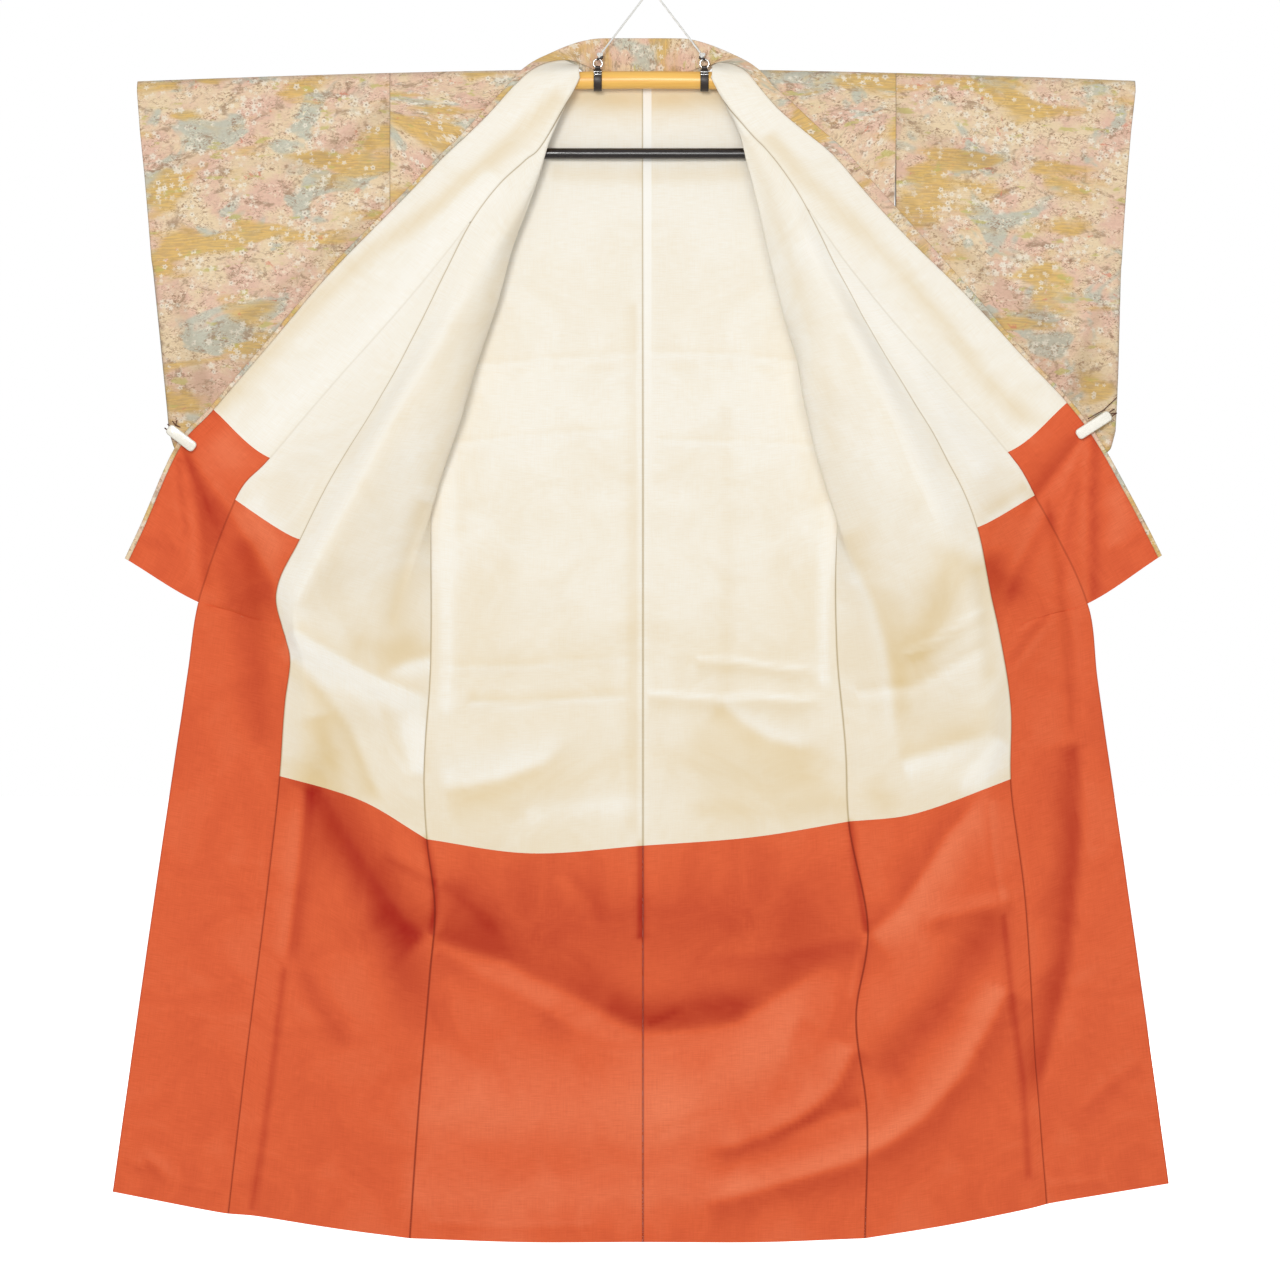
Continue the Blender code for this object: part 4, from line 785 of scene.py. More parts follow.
def raised_to_neck(sheet):
    """The back's top edge follows the collar's seam between the neck points."""
    seam = np.array([row[0] for row in NECK[::-1]], float)
    top = sheet.points[-1]
    inside = np.abs(top[:, 0]) < abs(NECK[0][0][0])
    top[inside, 2] = np.interp(np.abs(top[inside, 0]), -seam[:, 0], seam[:, 2])
    return sheet


def body_sheets(side, low):
    front = panel(side, "body", low, SHOULDER)
    back = raised_to_neck(panel(side, "back", low, SHOULDER))
    return joined(over_rod(side), front.rows(slice(None, None, -1))), back


# Collar


def neck_stations(side):
    """Seam and fold points round the neck, from the neck point towards the middle, with their flaps."""
    shifts = (0, 0) if side < 0 else NECK_RIGHT_SHIFTS
    stations = []
    for *places, left_flap, right_flap in NECK:
        near = places[0][0] / NECK[0][0][0]
        moved = [(-side * x + shift * near, y, z) for (x, y, z), shift in zip(places, shifts)]
        stations.append((*moved, left_flap if side < 0 else right_flap))
    return stations


def opened_collar(side):
    """The collar's sheet on an opened front, and its flap's width at each row."""
    sheet = panel(side, "collar", COLLAR_END, SHOULDER)
    levels = np.array(levels_between(COLLAR_END, SHOULDER))
    forward = COLLAR_CLEAR * np.clip((levels - KENSAKI) / (SHOULDER - KENSAKI), 0, 1)
    sheet.points[..., 1] -= forward[:, None]
    return sheet, np.array([on_guide(FLAP, level)[0 if side < 0 else 1] for level in levels])


def whole_collar():
    """The collar's sheet from one end round the neck to the other, its flaps, and its rows on each front."""
    (left, left_flaps), (right, right_flaps) = opened_collar(-1), opened_collar(1)
    stations = neck_stations(-1) + [NECK_MIDDLE] + neck_stations(1)[::-1]
    last = len(stations) + 1
    spots = np.linspace(0, last, last * NECK_STEPS + 1)[1:-1]
    edges = []
    for part, column in ((0, 0), (1, -1)):
        guides = [left.points[row, column] for row in NECK_LEADS]
        guides += [station[part] for station in stations]
        guides += [right.points[row, column] for row in NECK_LEADS[::-1]]
        edges.append(on_row(guides, spots + 1))
    seam, fold = edges
    neck = seam[:, None] + (fold - seam)[:, None] * COLLAR_SHARES[None, :, None]
    for end, near in ((left.points[-1], spots), (right.points[-1], last - spots)):
        curve = end - (end[:1] + (end[-1:] - end[:1]) * COLLAR_SHARES[:, None])
        neck += curve[None] * (1 - smooth_step(near, 0, NECK_BLEND))[:, None, None]
    sheet = joined(left, Sheet(neck, neck), right.rows(slice(None, None, -1)))
    across, along = (unit(np.gradient(sheet.points, axis=axis)) for axis in (1, 0))
    sheet.normals = -unit(np.cross(across, along))
    flaps = [left_flaps[-1], *(station[2] for station in stations), right_flaps[-1]]
    widths = np.concatenate([left_flaps, np.interp(spots, np.arange(last + 1), flaps), right_flaps[::-1]])
    return sheet, widths, len(left.points)


def along_row(points, normals, distance):
    """Point and direction at a distance from a row's last point, back along it."""
    gone = np.linalg.norm(points - np.roll(points, -1, axis=0), axis=1)[::-1]
    gone[0] = 0
    gone = np.cumsum(gone)
    place = [np.interp(distance, gone, values[::-1]) for values in points.T]
    direction = [np.interp(distance, gone, values[::-1]) for values in normals.T]
    return np.stack(place, axis=-1), np.stack(direction, axis=-1)


def folded(sheet, widths):
    """The collar's section at each row: up its outer face, round the fold and down the flap."""
    half = FLAP_OUT / 2
    turns = np.linspace(0, math.pi, 8)[1:-1, None]
    points, normals = [], []
    for row, direction, lift, width in zip(sheet.points, sheet.normals, sheet.lift, widths):
        row = row + direction * lift[:, None]
        fold, normal = row[-1], direction[-1]
        down = (row[-2] - fold) / np.linalg.norm(row[-2] - fold)
        inward = normal * np.cos(turns) + down * np.sin(turns)
        flap, flap_normal = along_row(row, direction, np.linspace(0, 1, 9) * width)
        points.append(np.vstack([row, fold + normal * half - inward * half, flap + flap_normal * FLAP_OUT]))
        normals.append(np.vstack([direction, inward, -flap_normal]))
    return Sheet(np.array(points), unit(np.array(normals)))


def short_of_fold(sheet):
    """A sheet of the collar's lining, which stops short of the fold."""
    for row, normals in zip(sheet.points, sheet.normals):
        place, _ = along_row(row, normals, np.array([FOLD_CLEAR]))
        row[-1] = place[0]
    return sheet


# Sleeves


def rounding(distance, radius=7.0):
    """From 0 at a closed edge to 1 a radius away from it, as round as a fold."""
    share = np.clip(distance / radius, 0, 1)
    return np.sqrt(1 - (1 - share) ** 2)


def make_sleeve(side, name, outside, inside, origin):
    """A flat bag over the rod: open at the body's side and at the cuff, closed below it. Origin is its
    place in the cloth's design."""
    table = np.array(SLEEVE_SIDE, float)
    inner = ARMHOLE + 2 * SEAM_HALF_GAP
    angles = np.linspace(0, math.pi, ROD_STEPS + 1)
    below = np.ones(len(SLEEVE_HEIGHTS))
    z = np.concatenate([SLEEVE_HEIGHTS, ROD_CLOTH_RADIUS * np.sin(angles), SLEEVE_HEIGHTS[::-1]])[:, None]
    face = np.concatenate([-below, -np.cos(angles), below])[:, None]
    outer = np.interp(-z, -table[:, 0], table[:, 1 if side < 0 else 2])
    x = inner + (outer - inner) * SLEEVE_SHARES
    lower = z < 0
    closed = smooth_step(-z, *CUFF_CLOSES)
    shut = 1 - closed * (1 - rounding(outer - x))
    hanging_depth = sleeve_depth(z) * shut * rounding(z + SLEEVE_LENGTH + TINY)
    flat = np.where(lower, hanging_depth, ROD_CLOTH_RADIUS)
    points = np.stack([side * x, 0 * x, z + rod_axis(x) - np.where(lower, rod_axis(inner), 0)], axis=-1)
    hanging = smooth_step(-z, *SLEEVE_WAVES_START) * rounding(outer - x, CUFF_CALM)
    # The sleeves' folds: their height, and the painted shade and light along them
    wave, tone = folds_at(points, SLEEVE_FOLDS)
    wave += unevenness(points, *SLEEVE_WAVE) + unevenness(points, *SLEEVE_RIPPLE)
    points[..., 1] = face * flat - wave * hanging * smooth_step(z + SLEEVE_LENGTH, 0, FOOT_CALM)
    index = np.arange(x.size).reshape(x.shape)
    faces = quads(np.vstack([index, index[:1]]), side < 0)
    across, along = distances(points, 1), distances(points, 0)
    grid = np.stack([across, along[:, :1] + 0 * along], axis=-1) + origin
    maps = {key: value.reshape(-1, 2) for key, value in thread_maps(points, across, tone, grid).items()}
    sleeve = new_mesh(name, in_frame(points).reshape(-1, 3), faces, maps, [outside, inside])
    wall = sleeve.modifiers.new("wall", "SOLIDIFY")
    wall.thickness = SLEEVE_WALL
    wall.offset = -1
    wall.material_offset = 1
    return sleeve


# Hanging gear


def facing_out(vertices, faces):
    """Faces of a closed mesh, turned so that they face out."""
    a, b, c, d = (vertices[faces[:, i]] for i in range(4))
    volume = np.einsum("ij,ij->", np.cross(c - a, d - b), a + b + c + d - 4 * vertices.mean(axis=0))
    return faces if volume > 0 else faces[:, ::-1]


def ringed(name, rows, material):
    """A solid from rows of points, each row closed on itself."""
    points = np.array(rows)
    index = np.arange(points.shape[0] * points.shape[1]).reshape(points.shape[:2])
    vertices = in_frame(points).reshape(-1, 3)
    faces = facing_out(vertices, quads(np.hstack([index, index[:, :1]]), False))
    return new_mesh(name, vertices, faces, {}, [material])


def turned(name, profile, middle, turns, material, bend=lambda along: 0.0):
    """A solid of rings along X: each profile row is a place from the middle and a radius. Bend gives how far
    a ring's centre lies above the middle."""
    angles = np.linspace(0, 2 * math.pi, turns + 1)[:-1]
    x, y, z = middle
    rows = []
    for along, radius in profile:
        forward, up = radius * np.cos(angles), radius * np.sin(angles)
        rows.append(np.stack([0 * angles + x + along, y + forward, z + bend(along) + up], axis=-1))
    return ringed(name, rows, material)


def corner_steps(radius):
    """The ways in from an end and from a side, at steps round the corner between them."""
    turns = np.linspace(0, math.pi / 2, 6)[::-1]
    return [(radius * (1 - math.sin(t)), radius * (1 - math.cos(t))) for t in turns]


def bar_profile(half, radius, corner, stations):
    """Places and radii of a round bar with closed, rounded ends."""
    start = [(-half, TINY)] + [(-half + depth, radius - inset) for depth, inset in corner_steps(corner)]
    middle = [(x, radius) for x in np.linspace(-half + corner, half - corner, stations)[1:-1]]
    return start + middle + [(-x, r) for x, r in start[::-1]]


def tube(name, points, radius, material, smooth=False):
    """A wire or cord along points."""
    data = bpy.data.curves.new(name, "CURVE")
    data.dimensions = "3D"
    data.bevel_depth = radius * MM
    data.bevel_resolution = 4
    data.use_fill_caps = True
    line = data.splines.new("NURBS" if smooth else "POLY")
    line.points.add(len(points) - 1)
    for point, place in zip(line.points, in_frame(points)):
        point.co = (*place, 1)
    if smooth:
        line.use_endpoint_u = True
        line.order_u = 4
    data.materials.append(material)
    return linked(name, data)


def ring(name, centre, radius, wire, material):
    """A round wire ring that stands upright and faces the viewer."""
    around = np.linspace(0, 2 * math.pi, 65)[:, None]
    about = np.linspace(0, 2 * math.pi, 17)[:-1]
    reach = radius + wire * np.cos(about)
    x, y, z = reach * np.cos(around), wire * np.sin(about) + 0 * around, reach * np.sin(around)
    return ringed(name, np.stack([x, y, z], axis=-1) + np.array(centre), material)


def peg(name, start, along, length, low, high, material):
    """A flat bar with round corners and edges: from a start along a way, between two depths."""
    across = np.array((-along[2], 0, along[0]))
    around = np.linspace(0, 2 * math.pi, 49)[:-1] + 0.01
    half = CLIP_WIDTH / 2
    steps = [(low + depth, inset) for depth, inset in corner_steps(CLIP_EDGE)]
    steps += [(low + high - depth, inset) for depth, inset in steps[::-1]]
    rows = []
    for depth, inset in [(low, None)] + steps + [(high, None)]:
        reach = CLIP_CORNER - (inset or 0)
        u = np.where(np.cos(around) > 0, length - CLIP_CORNER, CLIP_CORNER) + reach * np.cos(around)
        v = np.where(np.sin(around) > 0, half - CLIP_CORNER, CLIP_CORNER - half) + reach * np.sin(around)
        if inset is None:
            u, v = length / 2 + (u - length / 2) * 0.01, v * 0.01
        rows.append(start + u[:, None] * along + v[:, None] * across + np.array((0, depth, 0)))
    return ringed(name, rows, material)


def hanger_side(side):
    """Places of a clamp, its eye and its knot, and the ends of its cord."""
    x = RING_AT[0] + side * CLAMP_SPREAD
    base = np.array((x, 0, rod_axis(x)))
    knot = base + (-side * KNOT_ASIDE, 0, KNOT_HEIGHT)
    way = unit(RING_AT - knot)
    start = knot + way * (KNOT_RADIUS + CORD_START)
    end = RING_AT - way * (RING_RADIUS + RING_WIRE + CORD_CLEAR)
    return base, knot, start, end


def make_cord(side, name, material):
    _, _, start, end = hanger_side(side)
    path = [start + (end - start) * share for share in np.linspace(0, 1, 9)]
    cord = tube(f"cord_{name}_cotton", path, CORD_RADIUS, material)
    place(cord, "cord", f"cord_{name}")


def make_hanger():
    """The rod with its clamps, eyes, knots, ring, bar and links."""
    rod = bar_profile(ROD_HALF_LENGTH, ROD_RADIUS, 2.0, 81)
    place(turned("rod_wood", rod, (0, 0, 0), 48, varnish, rod_axis), "wood", "rod")
    bar = bar_profile(BAR_HALF_LENGTH, BAR_RADIUS, 1.0, 9)
    place(turned("bar_lacquer", bar, (0, *BAR_AT), 40, black), "black", "bar")
    place(ring("hang_ring_wire", RING_AT, RING_RADIUS, RING_WIRE, steel), "steel", "hang_ring")
    wire = bar_profile(5.4, 0.75, 0.3, 3)
    lug = bar_profile(3.6, 2.6, 0.8, 3)
    cap = bar_profile(4.4, 2.0, 0.9, 3)
    turns = np.linspace(0, 2 * math.pi, 61)
    loops = np.stack([
        np.sin(turns) + 2 * np.sin(2 * turns), -np.sin(3 * turns), np.cos(turns) - 2 * np.cos(2 * turns),
    ], axis=-1)
    for side, end in SIDES:
        base, knot, _, _ = hanger_side(side)
        clamp, eye = f"clamp_{end}", f"eye_{end}"
        place(turned(f"{clamp}_band", CLAMP_SECTION, base, 48, strap), "black", clamp)
        for number, (y, up) in enumerate(CLAMP_WIRES):
            place(turned(f"{clamp}_wire_{number}", wire, base + (0, y, up), 12, steel), "steel", clamp)
        place(turned(f"{eye}_lug", lug, base + (0, 0, LUG_HEIGHT), 24, strap), "black", eye)
        place(ring(f"{eye}_wire", base + (0, 0, EYE_HEIGHT), EYE_RADIUS, EYE_WIRE, steel), "steel", eye)
        middle, slope = (knot[0], 0, base[2] + CAP_HEIGHT), -side * CAP_TILT
        place(turned(f"{eye}_cap", cap, middle, 24, strap, lambda along: slope * along), "black", eye)
        place(tube(f"knot_{end}_cotton", knot + KNOT_SIZE * loops, KNOT_CORD, cotton), "cord", f"knot_{end}")
        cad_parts[f"link_{end}"].material_slots[0].material = black


def make_clip(end):
    """A white peg of two bars, and the dark elastic that joins them round the sleeve's edge."""
    (x0, z0), (x1, z1), past = CLIPS[end]
    start, finish = np.array((x0, 0, z0), float), np.array((x1, 0, z1), float)
    length = np.linalg.norm(finish - start)
    along = (finish - start) / length
    across = np.array((-along[2], 0, along[0]))
    node = f"clip_{end}"
    for name, share, low in (("front", 1.0, CLIP_FRONT - CLIP_BAR), ("back", CLIP_BACK_SHARE, CLIP_BACK)):
        bar = peg(f"{node}_{name}", start, along, length * share, low, low + CLIP_BAR, plastic)
        place(bar, "white", node)
    for number, aside in enumerate((-ELASTIC_ASIDE, ELASTIC_ASIDE)):
        path = [start + along * (on - out * past) + across * aside + (0, y, 0) for on, out, y in ELASTIC_PATH]
        place(tube(f"{node}_elastic_{number}", path, ELASTIC_RADIUS, elastic, True), "black", node)
    for number, places in enumerate(CLIP_TIES[end]):
        depths = np.linspace(TIE_NEAR, TIE_FAR, len(places))
        path = [(x, y, z) for (x, z), y in zip(places, depths)]
        place(tube(f"{node}_tie_{number}", path, TIE_RADIUS, elastic), "black", node)


def place(piece, slot, *nodes):
    """A finished piece rides on the only body and stands for its nodes."""
    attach(piece, "root")
    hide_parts(*nodes)


# Materials


def rgb(red, green, blue):
    """Linear colour from its 8-bit display values."""
    values = [v / 255 for v in (red, green, blue)]
    return (*(v / 12.92 if v <= 0.04045 else ((v + 0.055) / 1.055) ** 2.4 for v in values), 1)


class Shader:
    """A material whose nodes are built by short calls. A value is a number, a colour or another's output."""

    def __init__(self, name, **sockets):
        self.material = bpy.data.materials.new(name)
        self.material.use_nodes = True
        self.tree = self.material.node_tree
        self.surface = self.tree.nodes["Principled BSDF"]
        for key, value in sockets.items():
            self.surface.inputs[key.replace("_", " ")].default_value = value

    def node(self, kind, inputs, output=0, **settings):
        node = self.tree.nodes.new(kind)
        for key, value in settings.items():
            setattr(node, key, value)
        for key, value in inputs.items():
            if isinstance(value, bpy.types.NodeSocket):
                self.tree.links.new(value, node.inputs[key])
            else:
                node.inputs[key].default_value = value
        return node.outputs[output]

    def math(self, operation, a, b=0.0, c=0.0, clamp=False):
        return self.node("ShaderNodeMath", {0: a, 1: b, 2: c}, operation=operation, use_clamp=clamp)

    def times(self, a, b, clamp=False):
        return self.math("MULTIPLY", a, b, clamp=clamp)

    def range(self, value, low, high, to_low=0.0, to_high=1.0):
        inputs = {"Value": value, "From Min": low, "From Max": high, "To Min": to_low, "To Max": to_high}
        return self.node("ShaderNodeMapRange", inputs, interpolation_type="SMOOTHSTEP")

    def mix(self, share, a, b, blend="MIX"):
        inputs = {0: share, 6: a, 7: b}
        return self.node("ShaderNodeMix", inputs, 2, data_type="RGBA", blend_type=blend)

    def noise(self, places, scale, detail=2.0, roughness=0.5, distortion=0.0):
        """Noise of one scale, or of one for each way."""
        if isinstance(scale, tuple):
            places, scale = self.scaled(places, *scale), 1.0
        inputs = dict(Vector=places, Scale=scale, Detail=detail, Roughness=roughness, Distortion=distortion)
        return self.node("ShaderNodeTexNoise", inputs)

    def wave(self, places, scale, bands="X", distortion=0.0):
        inputs = {
            "Vector": places, "Scale": scale, "Distortion": distortion, "Detail": 2.0, "Detail Scale": 1.5,
        }
        return self.node("ShaderNodeTexWave", inputs, 1, bands_direction=bands)

    def patched(self, tone, colour, places, noise, low, high, most):
        """A tone with a colour over it where some noise is above low, up to a share of most."""
        share = self.range(self.noise(places, *noise), low, high, 0.0, most)
        return self.mix(share, tone, colour)

    def map(self, name):
        return self.node("ShaderNodeUVMap", {}, uv_map=name)

    def object_places(self):
        return self.node("ShaderNodeTexCoord", {}, 3)

    def split(self, places):
        node = self.tree.nodes.new("ShaderNodeSeparateXYZ")
        self.tree.links.new(places, node.inputs[0])
        return node.outputs

    def join(self, x, y, z=0.0):
        return self.node("ShaderNodeCombineXYZ", {0: x, 1: y, 2: z})

    def scaled(self, places, x, y, z=1.0):
        return self.node("ShaderNodeVectorMath", {0: places, 1: (x, y, z)}, operation="MULTIPLY")

    def finish(self, colour, roughness, height=None, strength=0.3, distance=0.0005):
        self.tree.links.new(colour, self.surface.inputs["Base Color"])
        self.tree.links.new(roughness, self.surface.inputs["Roughness"])
        if height is not None:
            bump = self.node("ShaderNodeBump", {"Height": height, "Strength": strength, "Distance": distance})
            self.tree.links.new(bump, self.surface.inputs["Normal"])
        return self.material


def weave(shader, places, thread=0.00042):
    """Height of a plain weave of fine silk, uneven as hand-spun thread is."""
    uneven = shader.noise(places, (60, 700))
    across, along = (shader.wave(places, math.pi / 10 / thread, way, 0.6) for way in "XY")
    return shader.math("MULTIPLY_ADD", uneven, 1.2, shader.times(across, along))


def lining_silk(name, colour, shade, light, stitched, slub, painted_shade_down=0.0, seam=0.7, allowance=False):
    """Plain lining silk, darker in its seams, uneven in tone at random and in its surface from storage, with
    painted shade and light along its folds. The argument after slub is the strength of the painted shade that
    grows down the cloth, and seam that of its seams. Allowance shows a folded seam allowance through the
    back's edge."""
    shader = Shader(name, Sheen_Weight=0.05, Sheen_Roughness=0.4, Specular_IOR_Level=0.2)
    places = shader.map("UVMap")
    clouds = shader.noise(places, 9.0, 4.0, 0.6, 0.8)
    threads = shader.noise(places, (45, 1100), 3.0, 0.6)
    warp = shader.noise(places, (900, 30), 2.0, 0.6)
    # Painted shade and light along the folds and painted shade growing down the cloth, from the tone map, are
    # added to random clouds of tone
    folds, down = (shader.math("SUBTRACT", each, 1.0) for each in shader.split(shader.map("tone"))[:2])
    painted_light_and_shade = shader.math("MULTIPLY_ADD", down, painted_shade_down, folds)
    uneven = shader.math("MULTIPLY_ADD", shader.range(clouds, 0.3, 0.7, -1.0, 1.0), 0.13, painted_light_and_shade)
    tone = shader.mix(shader.times(uneven, -1.0, clamp=True), colour, shade)
    tone = shader.mix(shader.times(uneven, 1.0, clamp=True), tone, light)
    # Slubs of the weft and the warp darken towards the same shade colour
    tone = shader.mix(shader.range(threads, 0.3, 0.75, 0.0, slub), tone, shade)
    tone = shader.mix(shader.range(warp, 0.3, 0.8, 0.0, slub * 0.6), tone, shade)
    first, last = shader.split(shader.map("across"))[:2]
    beside = shader.math("MINIMUM", first, last)
    tone = shader.mix(shader.range(beside, 0.0, 0.0024, seam, 0.0), tone, stitched)
    height = weave(shader, places)
    if allowance:
        x, y, _ = shader.split(places)
        strip = shader.times(shader.range(last, 0.0105, 0.0125, 1.0, 0.0), shader.range(y, 0.45, 0.95))
        strip = shader.times(strip, shader.math("GREATER_THAN", x, 0.8))
        tone = shader.mix(shader.times(strip, 0.8), tone, light)
        height = shader.math("MULTIPLY_ADD", strip, 1.5, height)
    soft = shader.noise(places, 26.0, 2.0, 0.5, 0.4)
    height = shader.math("MULTIPLY_ADD", soft, 2.2, height)
    return shader.finish(tone, shader.range(threads, 0.2, 0.8, 0.5, 0.68), height, 0.35, 0.00035)


def florets(shader, places, scale, seed):
    """Small five-petalled blossoms scattered over the cloth: their shape, and their dark centres."""
    shifted = shader.node("ShaderNodeVectorMath", {0: places, 1: (seed, seed, 0)})
    cells = shader.tree.nodes.new("ShaderNodeTexVoronoi")
    cells.inputs["Scale"].default_value = scale
    cells.inputs["Randomness"].default_value = 0.7
    shader.tree.links.new(shifted, cells.inputs["Vector"])
    ends = {0: shifted, 1: cells.outputs["Position"]}
    x, y, _ = shader.split(shader.node("ShaderNodeVectorMath", ends, operation="SUBTRACT"))
    angle = shader.math("ARCTAN2", y, x)
    turn = shader.split(cells.outputs["Color"])[0]
    petals = shader.math("SINE", shader.math("MULTIPLY_ADD", turn, 6.0, shader.times(angle, 5.0)))
    reach = shader.math("MULTIPLY_ADD", petals, 0.07, 0.4)
    far = cells.outputs["Distance"]
    shape = shader.range(shader.math("SUBTRACT", reach, far), 0.0, 0.1)
    return shape, shader.range(far, 0.08, 0.15, 1.0, 0.0)


def figured_silk():
    """Matte slubbed silk with a generic woven design: gold haze bands, soft patches and small blossoms, with
    painted shade and light along its folds.
    """
    shader = Shader("figured_silk", Sheen_Weight=0.12, Sheen_Roughness=0.5, Specular_IOR_Level=0.25)
    places = shader.map("UVMap")
    x, y, _ = shader.split(places)
    picks = shader.noise(shader.join(0.0, shader.times(y, 900.0)), 1.0)
    drawn = shader.join(shader.math("MULTIPLY_ADD", picks, 0.005, x), y)
    patches = shader.range(shader.noise(drawn, 16.0, 4.0, 0.6), 0.4, 0.62)
    tone = shader.mix(patches, rgb(240, 216, 178), rgb(234, 194, 172))
    grey, umber, olive, red = rgb(196, 200, 184), rgb(160, 130, 104), rgb(198, 190, 104), rgb(220, 124, 100)
    tone = shader.patched(tone, grey, drawn, ((11, 15), 3.0, 0.6, 0.6), 0.53, 0.6, 0.9)
    tone = shader.patched(tone, umber, drawn, ((30, 46), 4.0, 0.7, 0.8), 0.54, 0.66, 0.75)
    fine = shader.noise(drawn, (170, 240), 4.0, 0.7, 1.4)
    busy = shader.range(shader.noise(drawn, (34, 60)), 0.4, 0.6, 0.15, 0.9)
    tone = shader.mix(shader.times(shader.range(fine, 0.53, 0.6), busy), tone, rgb(158, 122, 98))
    tone = shader.mix(shader.times(shader.range(fine, 0.45, 0.37), busy), tone, rgb(248, 234, 208))
    streaks = shader.range(shader.noise(drawn, (50, 420), 3.0), 0.38, 0.62)
    gold = shader.mix(streaks, rgb(232, 190, 100), rgb(206, 168, 98))
    tone = shader.patched(tone, gold, drawn, ((8, 19), 3.0, 0.5, 0.4), 0.5, 0.62, 0.85)
    tone = shader.patched(tone, olive, drawn, ((24, 60), 3.0, 0.6), 0.6, 0.69, 0.7)
    tone = shader.patched(tone, red, drawn, ((42, 50), 4.0, 0.7, 0.8), 0.64, 0.7, 0.65)
    for scale, seed, spread in ((84.0, 0.0, 11.0), (112.0, 3.7, 14.0)):
        shape, centre = florets(shader, drawn, scale, seed)
        clusters = shader.noise(shader.scaled(drawn, spread, spread * 1.5), 1.0 + seed * 0.1)
        shape = shader.times(shape, shader.range(clusters, 0.5, 0.57))
        tone = shader.mix(shader.times(shape, 0.66), tone, rgb(250, 242, 224))
        tone = shader.mix(shader.times(shader.times(shape, centre), 0.75), tone, rgb(140, 116, 96))
    slubs = shader.noise(places, (55, 1300), 3.0, 0.65)
    tone = shader.mix(shader.range(slubs, 0.35, 0.75, 0.0, 0.25), tone, rgb(188, 160, 128))
    tone = shader.patched(tone, rgb(236, 220, 192), places, ((80, 2100), 2.0, 0.6), 0.55, 0.8, 0.3)
    # Painted shade and light along the folds, from the tone map
    painted_light_and_shade = shader.math("SUBTRACT", shader.split(shader.map("tone"))[0], 1.0)
    tone = shader.mix(shader.times(painted_light_and_shade, -0.8, clamp=True), tone, rgb(150, 120, 86))
    tone = shader.mix(shader.times(painted_light_and_shade, 0.35, clamp=True), tone, rgb(246, 232, 208))
    first, last = shader.split(shader.map("across"))[:2]
    beside = shader.math("MINIMUM", first, last)
    tone = shader.mix(shader.range(beside, 0.0, 0.0018, 0.3, 0.0), tone, rgb(120, 100, 84))
    height = shader.math("MULTIPLY_ADD", slubs, 2.0, weave(shader, places, 0.0005))
    return shader.finish(tone, shader.range(slubs, 0.2, 0.8, 0.62, 0.8), height, 0.45, 0.0004)


def wood():
    shader = Shader("varnished_wood", Coat_Weight=0.35, Coat_Roughness=0.25)
    places = shader.object_places()
    grain = shader.noise(places, (5, 160, 160), 4.0, 0.6, 0.4)
    pores = shader.noise(places, (40, 1500, 1500))
    tone = shader.mix(shader.range(grain, 0.35, 0.7), rgb(252, 199, 100), rgb(240, 178, 80))
    tone = shader.mix(shader.range(pores, 0.6, 0.8, 0.0, 0.35), tone, rgb(206, 146, 76))
    return shader.finish(tone, shader.range(grain, 0.3, 0.7, 0.32, 0.45), pores, 0.15, 0.0002)


def speckled(name, dark, pale, roughness, scale, **sockets):
    """Paint, plastic or metal with a fine, uneven surface."""
    shader = Shader(name, **sockets)
    places = shader.object_places()
    grain = shader.noise(places, scale, 3.0, 0.6)
    marks = shader.noise(places, (40, 300, 300), 3.0, 0.6)
    tone = shader.mix(shader.range(grain, 0.3, 0.7), dark, pale)
    rough = shader.range(marks, 0.3, 0.7, roughness - 0.06, roughness + 0.08)
    return shader.finish(tone, rough, grain, 0.12, 0.0002)


def twisted_cotton():
    shader = Shader("cord_cotton", Sheen_Weight=0.4)
    places = shader.object_places()
    strands = shader.wave(places, 260.0, "DIAGONAL", 0.8)
    fibres = shader.noise(places, 2400.0, 3.0)
    tone = shader.mix(shader.range(strands, 0.0, 0.5, 0.6, 0.0), rgb(250, 250, 246), rgb(198, 194, 182))
    height = shader.math("MULTIPLY_ADD", fibres, 0.4, strands)
    return shader.finish(tone, shader.range(fibres, 0.3, 0.7, 0.8, 0.95), height, 0.8, 0.0006)


# Making: the camera and the cords, then the rest

scene = bpy.context.scene
camera = linked("camera", bpy.data.cameras.new("camera"))
camera.location = (-0.015, -9.0, -0.880)
camera.rotation_euler = (math.pi / 2, 0, 0)
camera.data.sensor_width = 36.0
camera.data.lens = 187.5
scene.camera = camera

cotton = twisted_cotton()
make_cord(-1, "left", cotton)
make_cord(1, "right", cotton)

silk = figured_silk()
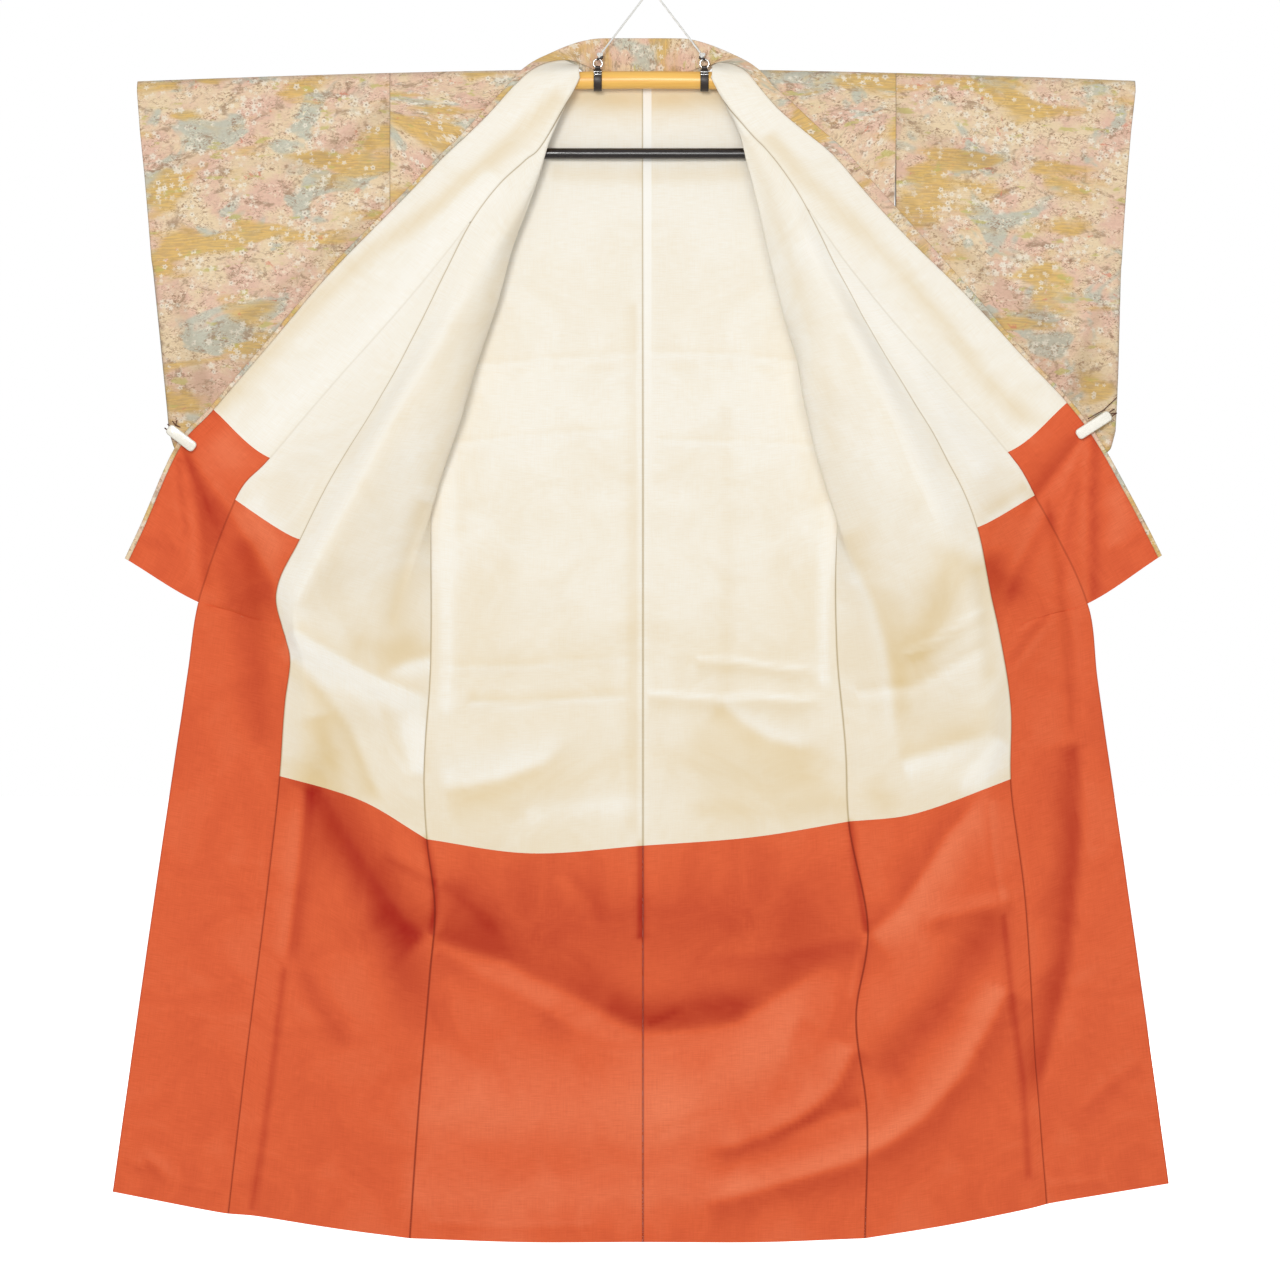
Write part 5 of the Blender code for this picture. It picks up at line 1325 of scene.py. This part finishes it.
# Each lining's colour, its painted shade colour (which its slubs also darken towards), its painted light
# colour, its seams' colour and its slubs' strength
cream_tones = rgb(250, 246, 235), rgb(229, 205, 158), rgb(255, 253, 246), rgb(176, 152, 104), 0.2
orange_tones = rgb(232, 103, 57), rgb(168, 26, 0), rgb(253, 142, 98), rgb(128, 28, 2), 0.2
cream = lining_silk("cream_silk", *cream_tones, painted_shade_down=1.0, seam=0.16)
cream_body = lining_silk("cream_silk_body", *cream_tones, painted_shade_down=1.0, seam=0.75)
cream_allowance = lining_silk("cream_silk_allowance", *cream_tones, painted_shade_down=1.0, seam=0.75, allowance=True)
orange = lining_silk("orange_silk", *orange_tones, seam=0.4)
orange_body = lining_silk("orange_silk_body", *orange_tones, seam=0.8)
varnish = wood()
steel = speckled("steel", rgb(190, 190, 190), rgb(225, 225, 222), 0.25, 900.0, Metallic=1.0)
black = speckled("black_lacquer", rgb(27, 20, 18), rgb(43, 35, 32), 0.22, 500.0, Coat_Weight=0.5)
strap = speckled("dark_band", rgb(38, 30, 28), rgb(66, 56, 50), 0.45, 1500.0)
plastic = speckled("white_plastic", rgb(222, 217, 202), rgb(234, 230, 217), 0.3, 700.0, Coat_Weight=0.3)
elastic = speckled("brown_elastic", rgb(84, 50, 34), rgb(110, 72, 52), 0.7, 2200.0)


def sheet_piece(piece, slot, node):
    place(piece, slot, node)


# Where each side's two lengths of cloth lie in the woven design, and in the lining's threads
DESIGN_ORIGINS = {"left": ((0, 0), (900, 1620)), "right": ((2300, 700), (3100, 2400))}
SLEEVE_ORIGINS = {"left": (400, 0), "right": (1750, 330)}
LINING_ORIGINS = ((0, 0), (900, 0))


def make_panels(side, end):
    """Every layer of one side's body and overlap panel."""
    outer, inner = body_sheets(side, 0), body_sheets(side, HEM_LINING_TOP)
    cloth(f"body_{end}", "silk", silk, OUTER, (0.33, 3.17), 0.86, outer, DESIGN_ORIGINS[end])
    lining = cream_allowance if side > 0 else cream_body
    cloth(f"body_lining_{end}", "cream", lining, LINING, (0.33, 1.97), 0.53, inner, LINING_ORIGINS)
    pieces = (
        ("hem_lining_back", "orange", orange_body, LINING, (0.31, 0.6), 0.17, "back", 0, HEM_LINING_TOP),
        ("hem_lining_front", "orange", orange_body, LINING, (0.31, 0.6), 0.17, "body", 0, HEM_LINING_TOP),
        ("okumi", "silk", silk, OUTER, (0.16, 1.38), 0.18, "overlap", 0, OVERLAP_TIP),
        ("okumi_lining", "cream", cream, LINING, (0.11, 0.46), 0.03, "overlap", OVERLAP_LINING_TOP,
         OVERLAP_TIP),
        ("okumi_hem_lining", "orange", orange, LINING, (0.16, 0.92), 0.125, "overlap", 0, OVERLAP_LINING_TOP),
    )
    for name, *looks, kind, low, high in pieces:
        cloth(f"{name}_{end}", *looks, [panel(side, kind, low, high)])


def make_collar():
    sheet, widths, opened_rows = whole_collar()
    cloth("collar", "silk", silk, COLLAR_LAYER, (0.13, 2.0), 0.22, [folded(sheet, widths)])
    shown = opened_rows + NECK_LINING_STATIONS * NECK_STEPS
    last = len(levels_between(COLLAR_END, COLLAR_LINING_END))
    for end, order in (("left", slice(0, shown)), ("right", slice(-1, -shown - 1, -1))):
        rows = sheet.rows(order)
        upper = short_of_fold(rows.rows(slice(last - 1, None)))
        lower = short_of_fold(rows.rows(slice(0, last)))
        cloth(f"collar_lining_{end}", "cream", cream, LINING, (0.11, 0.62), 0.06, [upper])
        cloth(f"collar_end_lining_{end}", "orange", orange, LINING, (0.11, 0.24), 0.025, [lower])


for side, end in SIDES:
    make_panels(side, end)
    sleeve = make_sleeve(side, f"sleeve_{end}_cloth", silk, cream, SLEEVE_ORIGINS[end])
    sheet_piece(sleeve, "silk", f"sleeve_{end}")
make_collar()
make_hanger()
for end in CLIPS:
    make_clip(end)


# Floor, lights and the world


def make_floor():
    shader = Shader("floor", Roughness=0.9)
    places = shader.object_places()
    grain = shader.noise(places, 40.0, 2.0)
    tone = shader.mix(grain, rgb(250, 250, 250), rgb(246, 246, 246))
    shader.surface.inputs["Emission Color"].default_value = (1, 1, 1, 1)
    shader.surface.inputs["Emission Strength"].default_value = 0.85
    shader.tree.links.new(tone, shader.surface.inputs["Base Color"])
    bpy.ops.mesh.primitive_plane_add(size=60, location=(0, 0, -1.80))
    floor = bpy.context.object
    floor.name = floor.data.name = "floor"
    floor.data.materials.append(shader.material)
    floor.visible_diffuse = False
    floor.visible_glossy = False


def add_light(name, location, size, power):
    data = bpy.data.lights.new(name, "AREA")
    data.size = size
    data.energy = power
    light = linked(name, data)
    light.location = location
    aim = Vector((0, 0, -0.85)) - Vector(location)
    light.rotation_euler = aim.to_track_quat("-Z", "Y").to_euler()


def light_world():
    """White behind the object, and a softer, dimmer white that lights it."""
    world = bpy.data.worlds.new("studio")
    scene.world = world
    world.use_nodes = True
    nodes, links = world.node_tree.nodes, world.node_tree.links
    nodes["Background"].inputs["Color"].default_value = (1, 1, 1, 1)
    seen = nodes.new("ShaderNodeLightPath").outputs["Is Camera Ray"]
    strength = nodes.new("ShaderNodeMapRange")
    strength.inputs["To Min"].default_value = 0.42
    strength.inputs["To Max"].default_value = 1.0
    links.new(seen, strength.inputs["Value"])
    links.new(strength.outputs["Result"], nodes["Background"].inputs["Strength"])


make_floor()
add_light("key", (-1.0, -6.6, 0.8), 1.6, 205.0)
add_light("fill", (1.2, -7.0, -0.7), 2.8, 112.0)
add_light("back", (2.0, 6.0, 0.6), 2.5, 190.0)
light_world()
scene.view_settings.view_transform = "Standard"
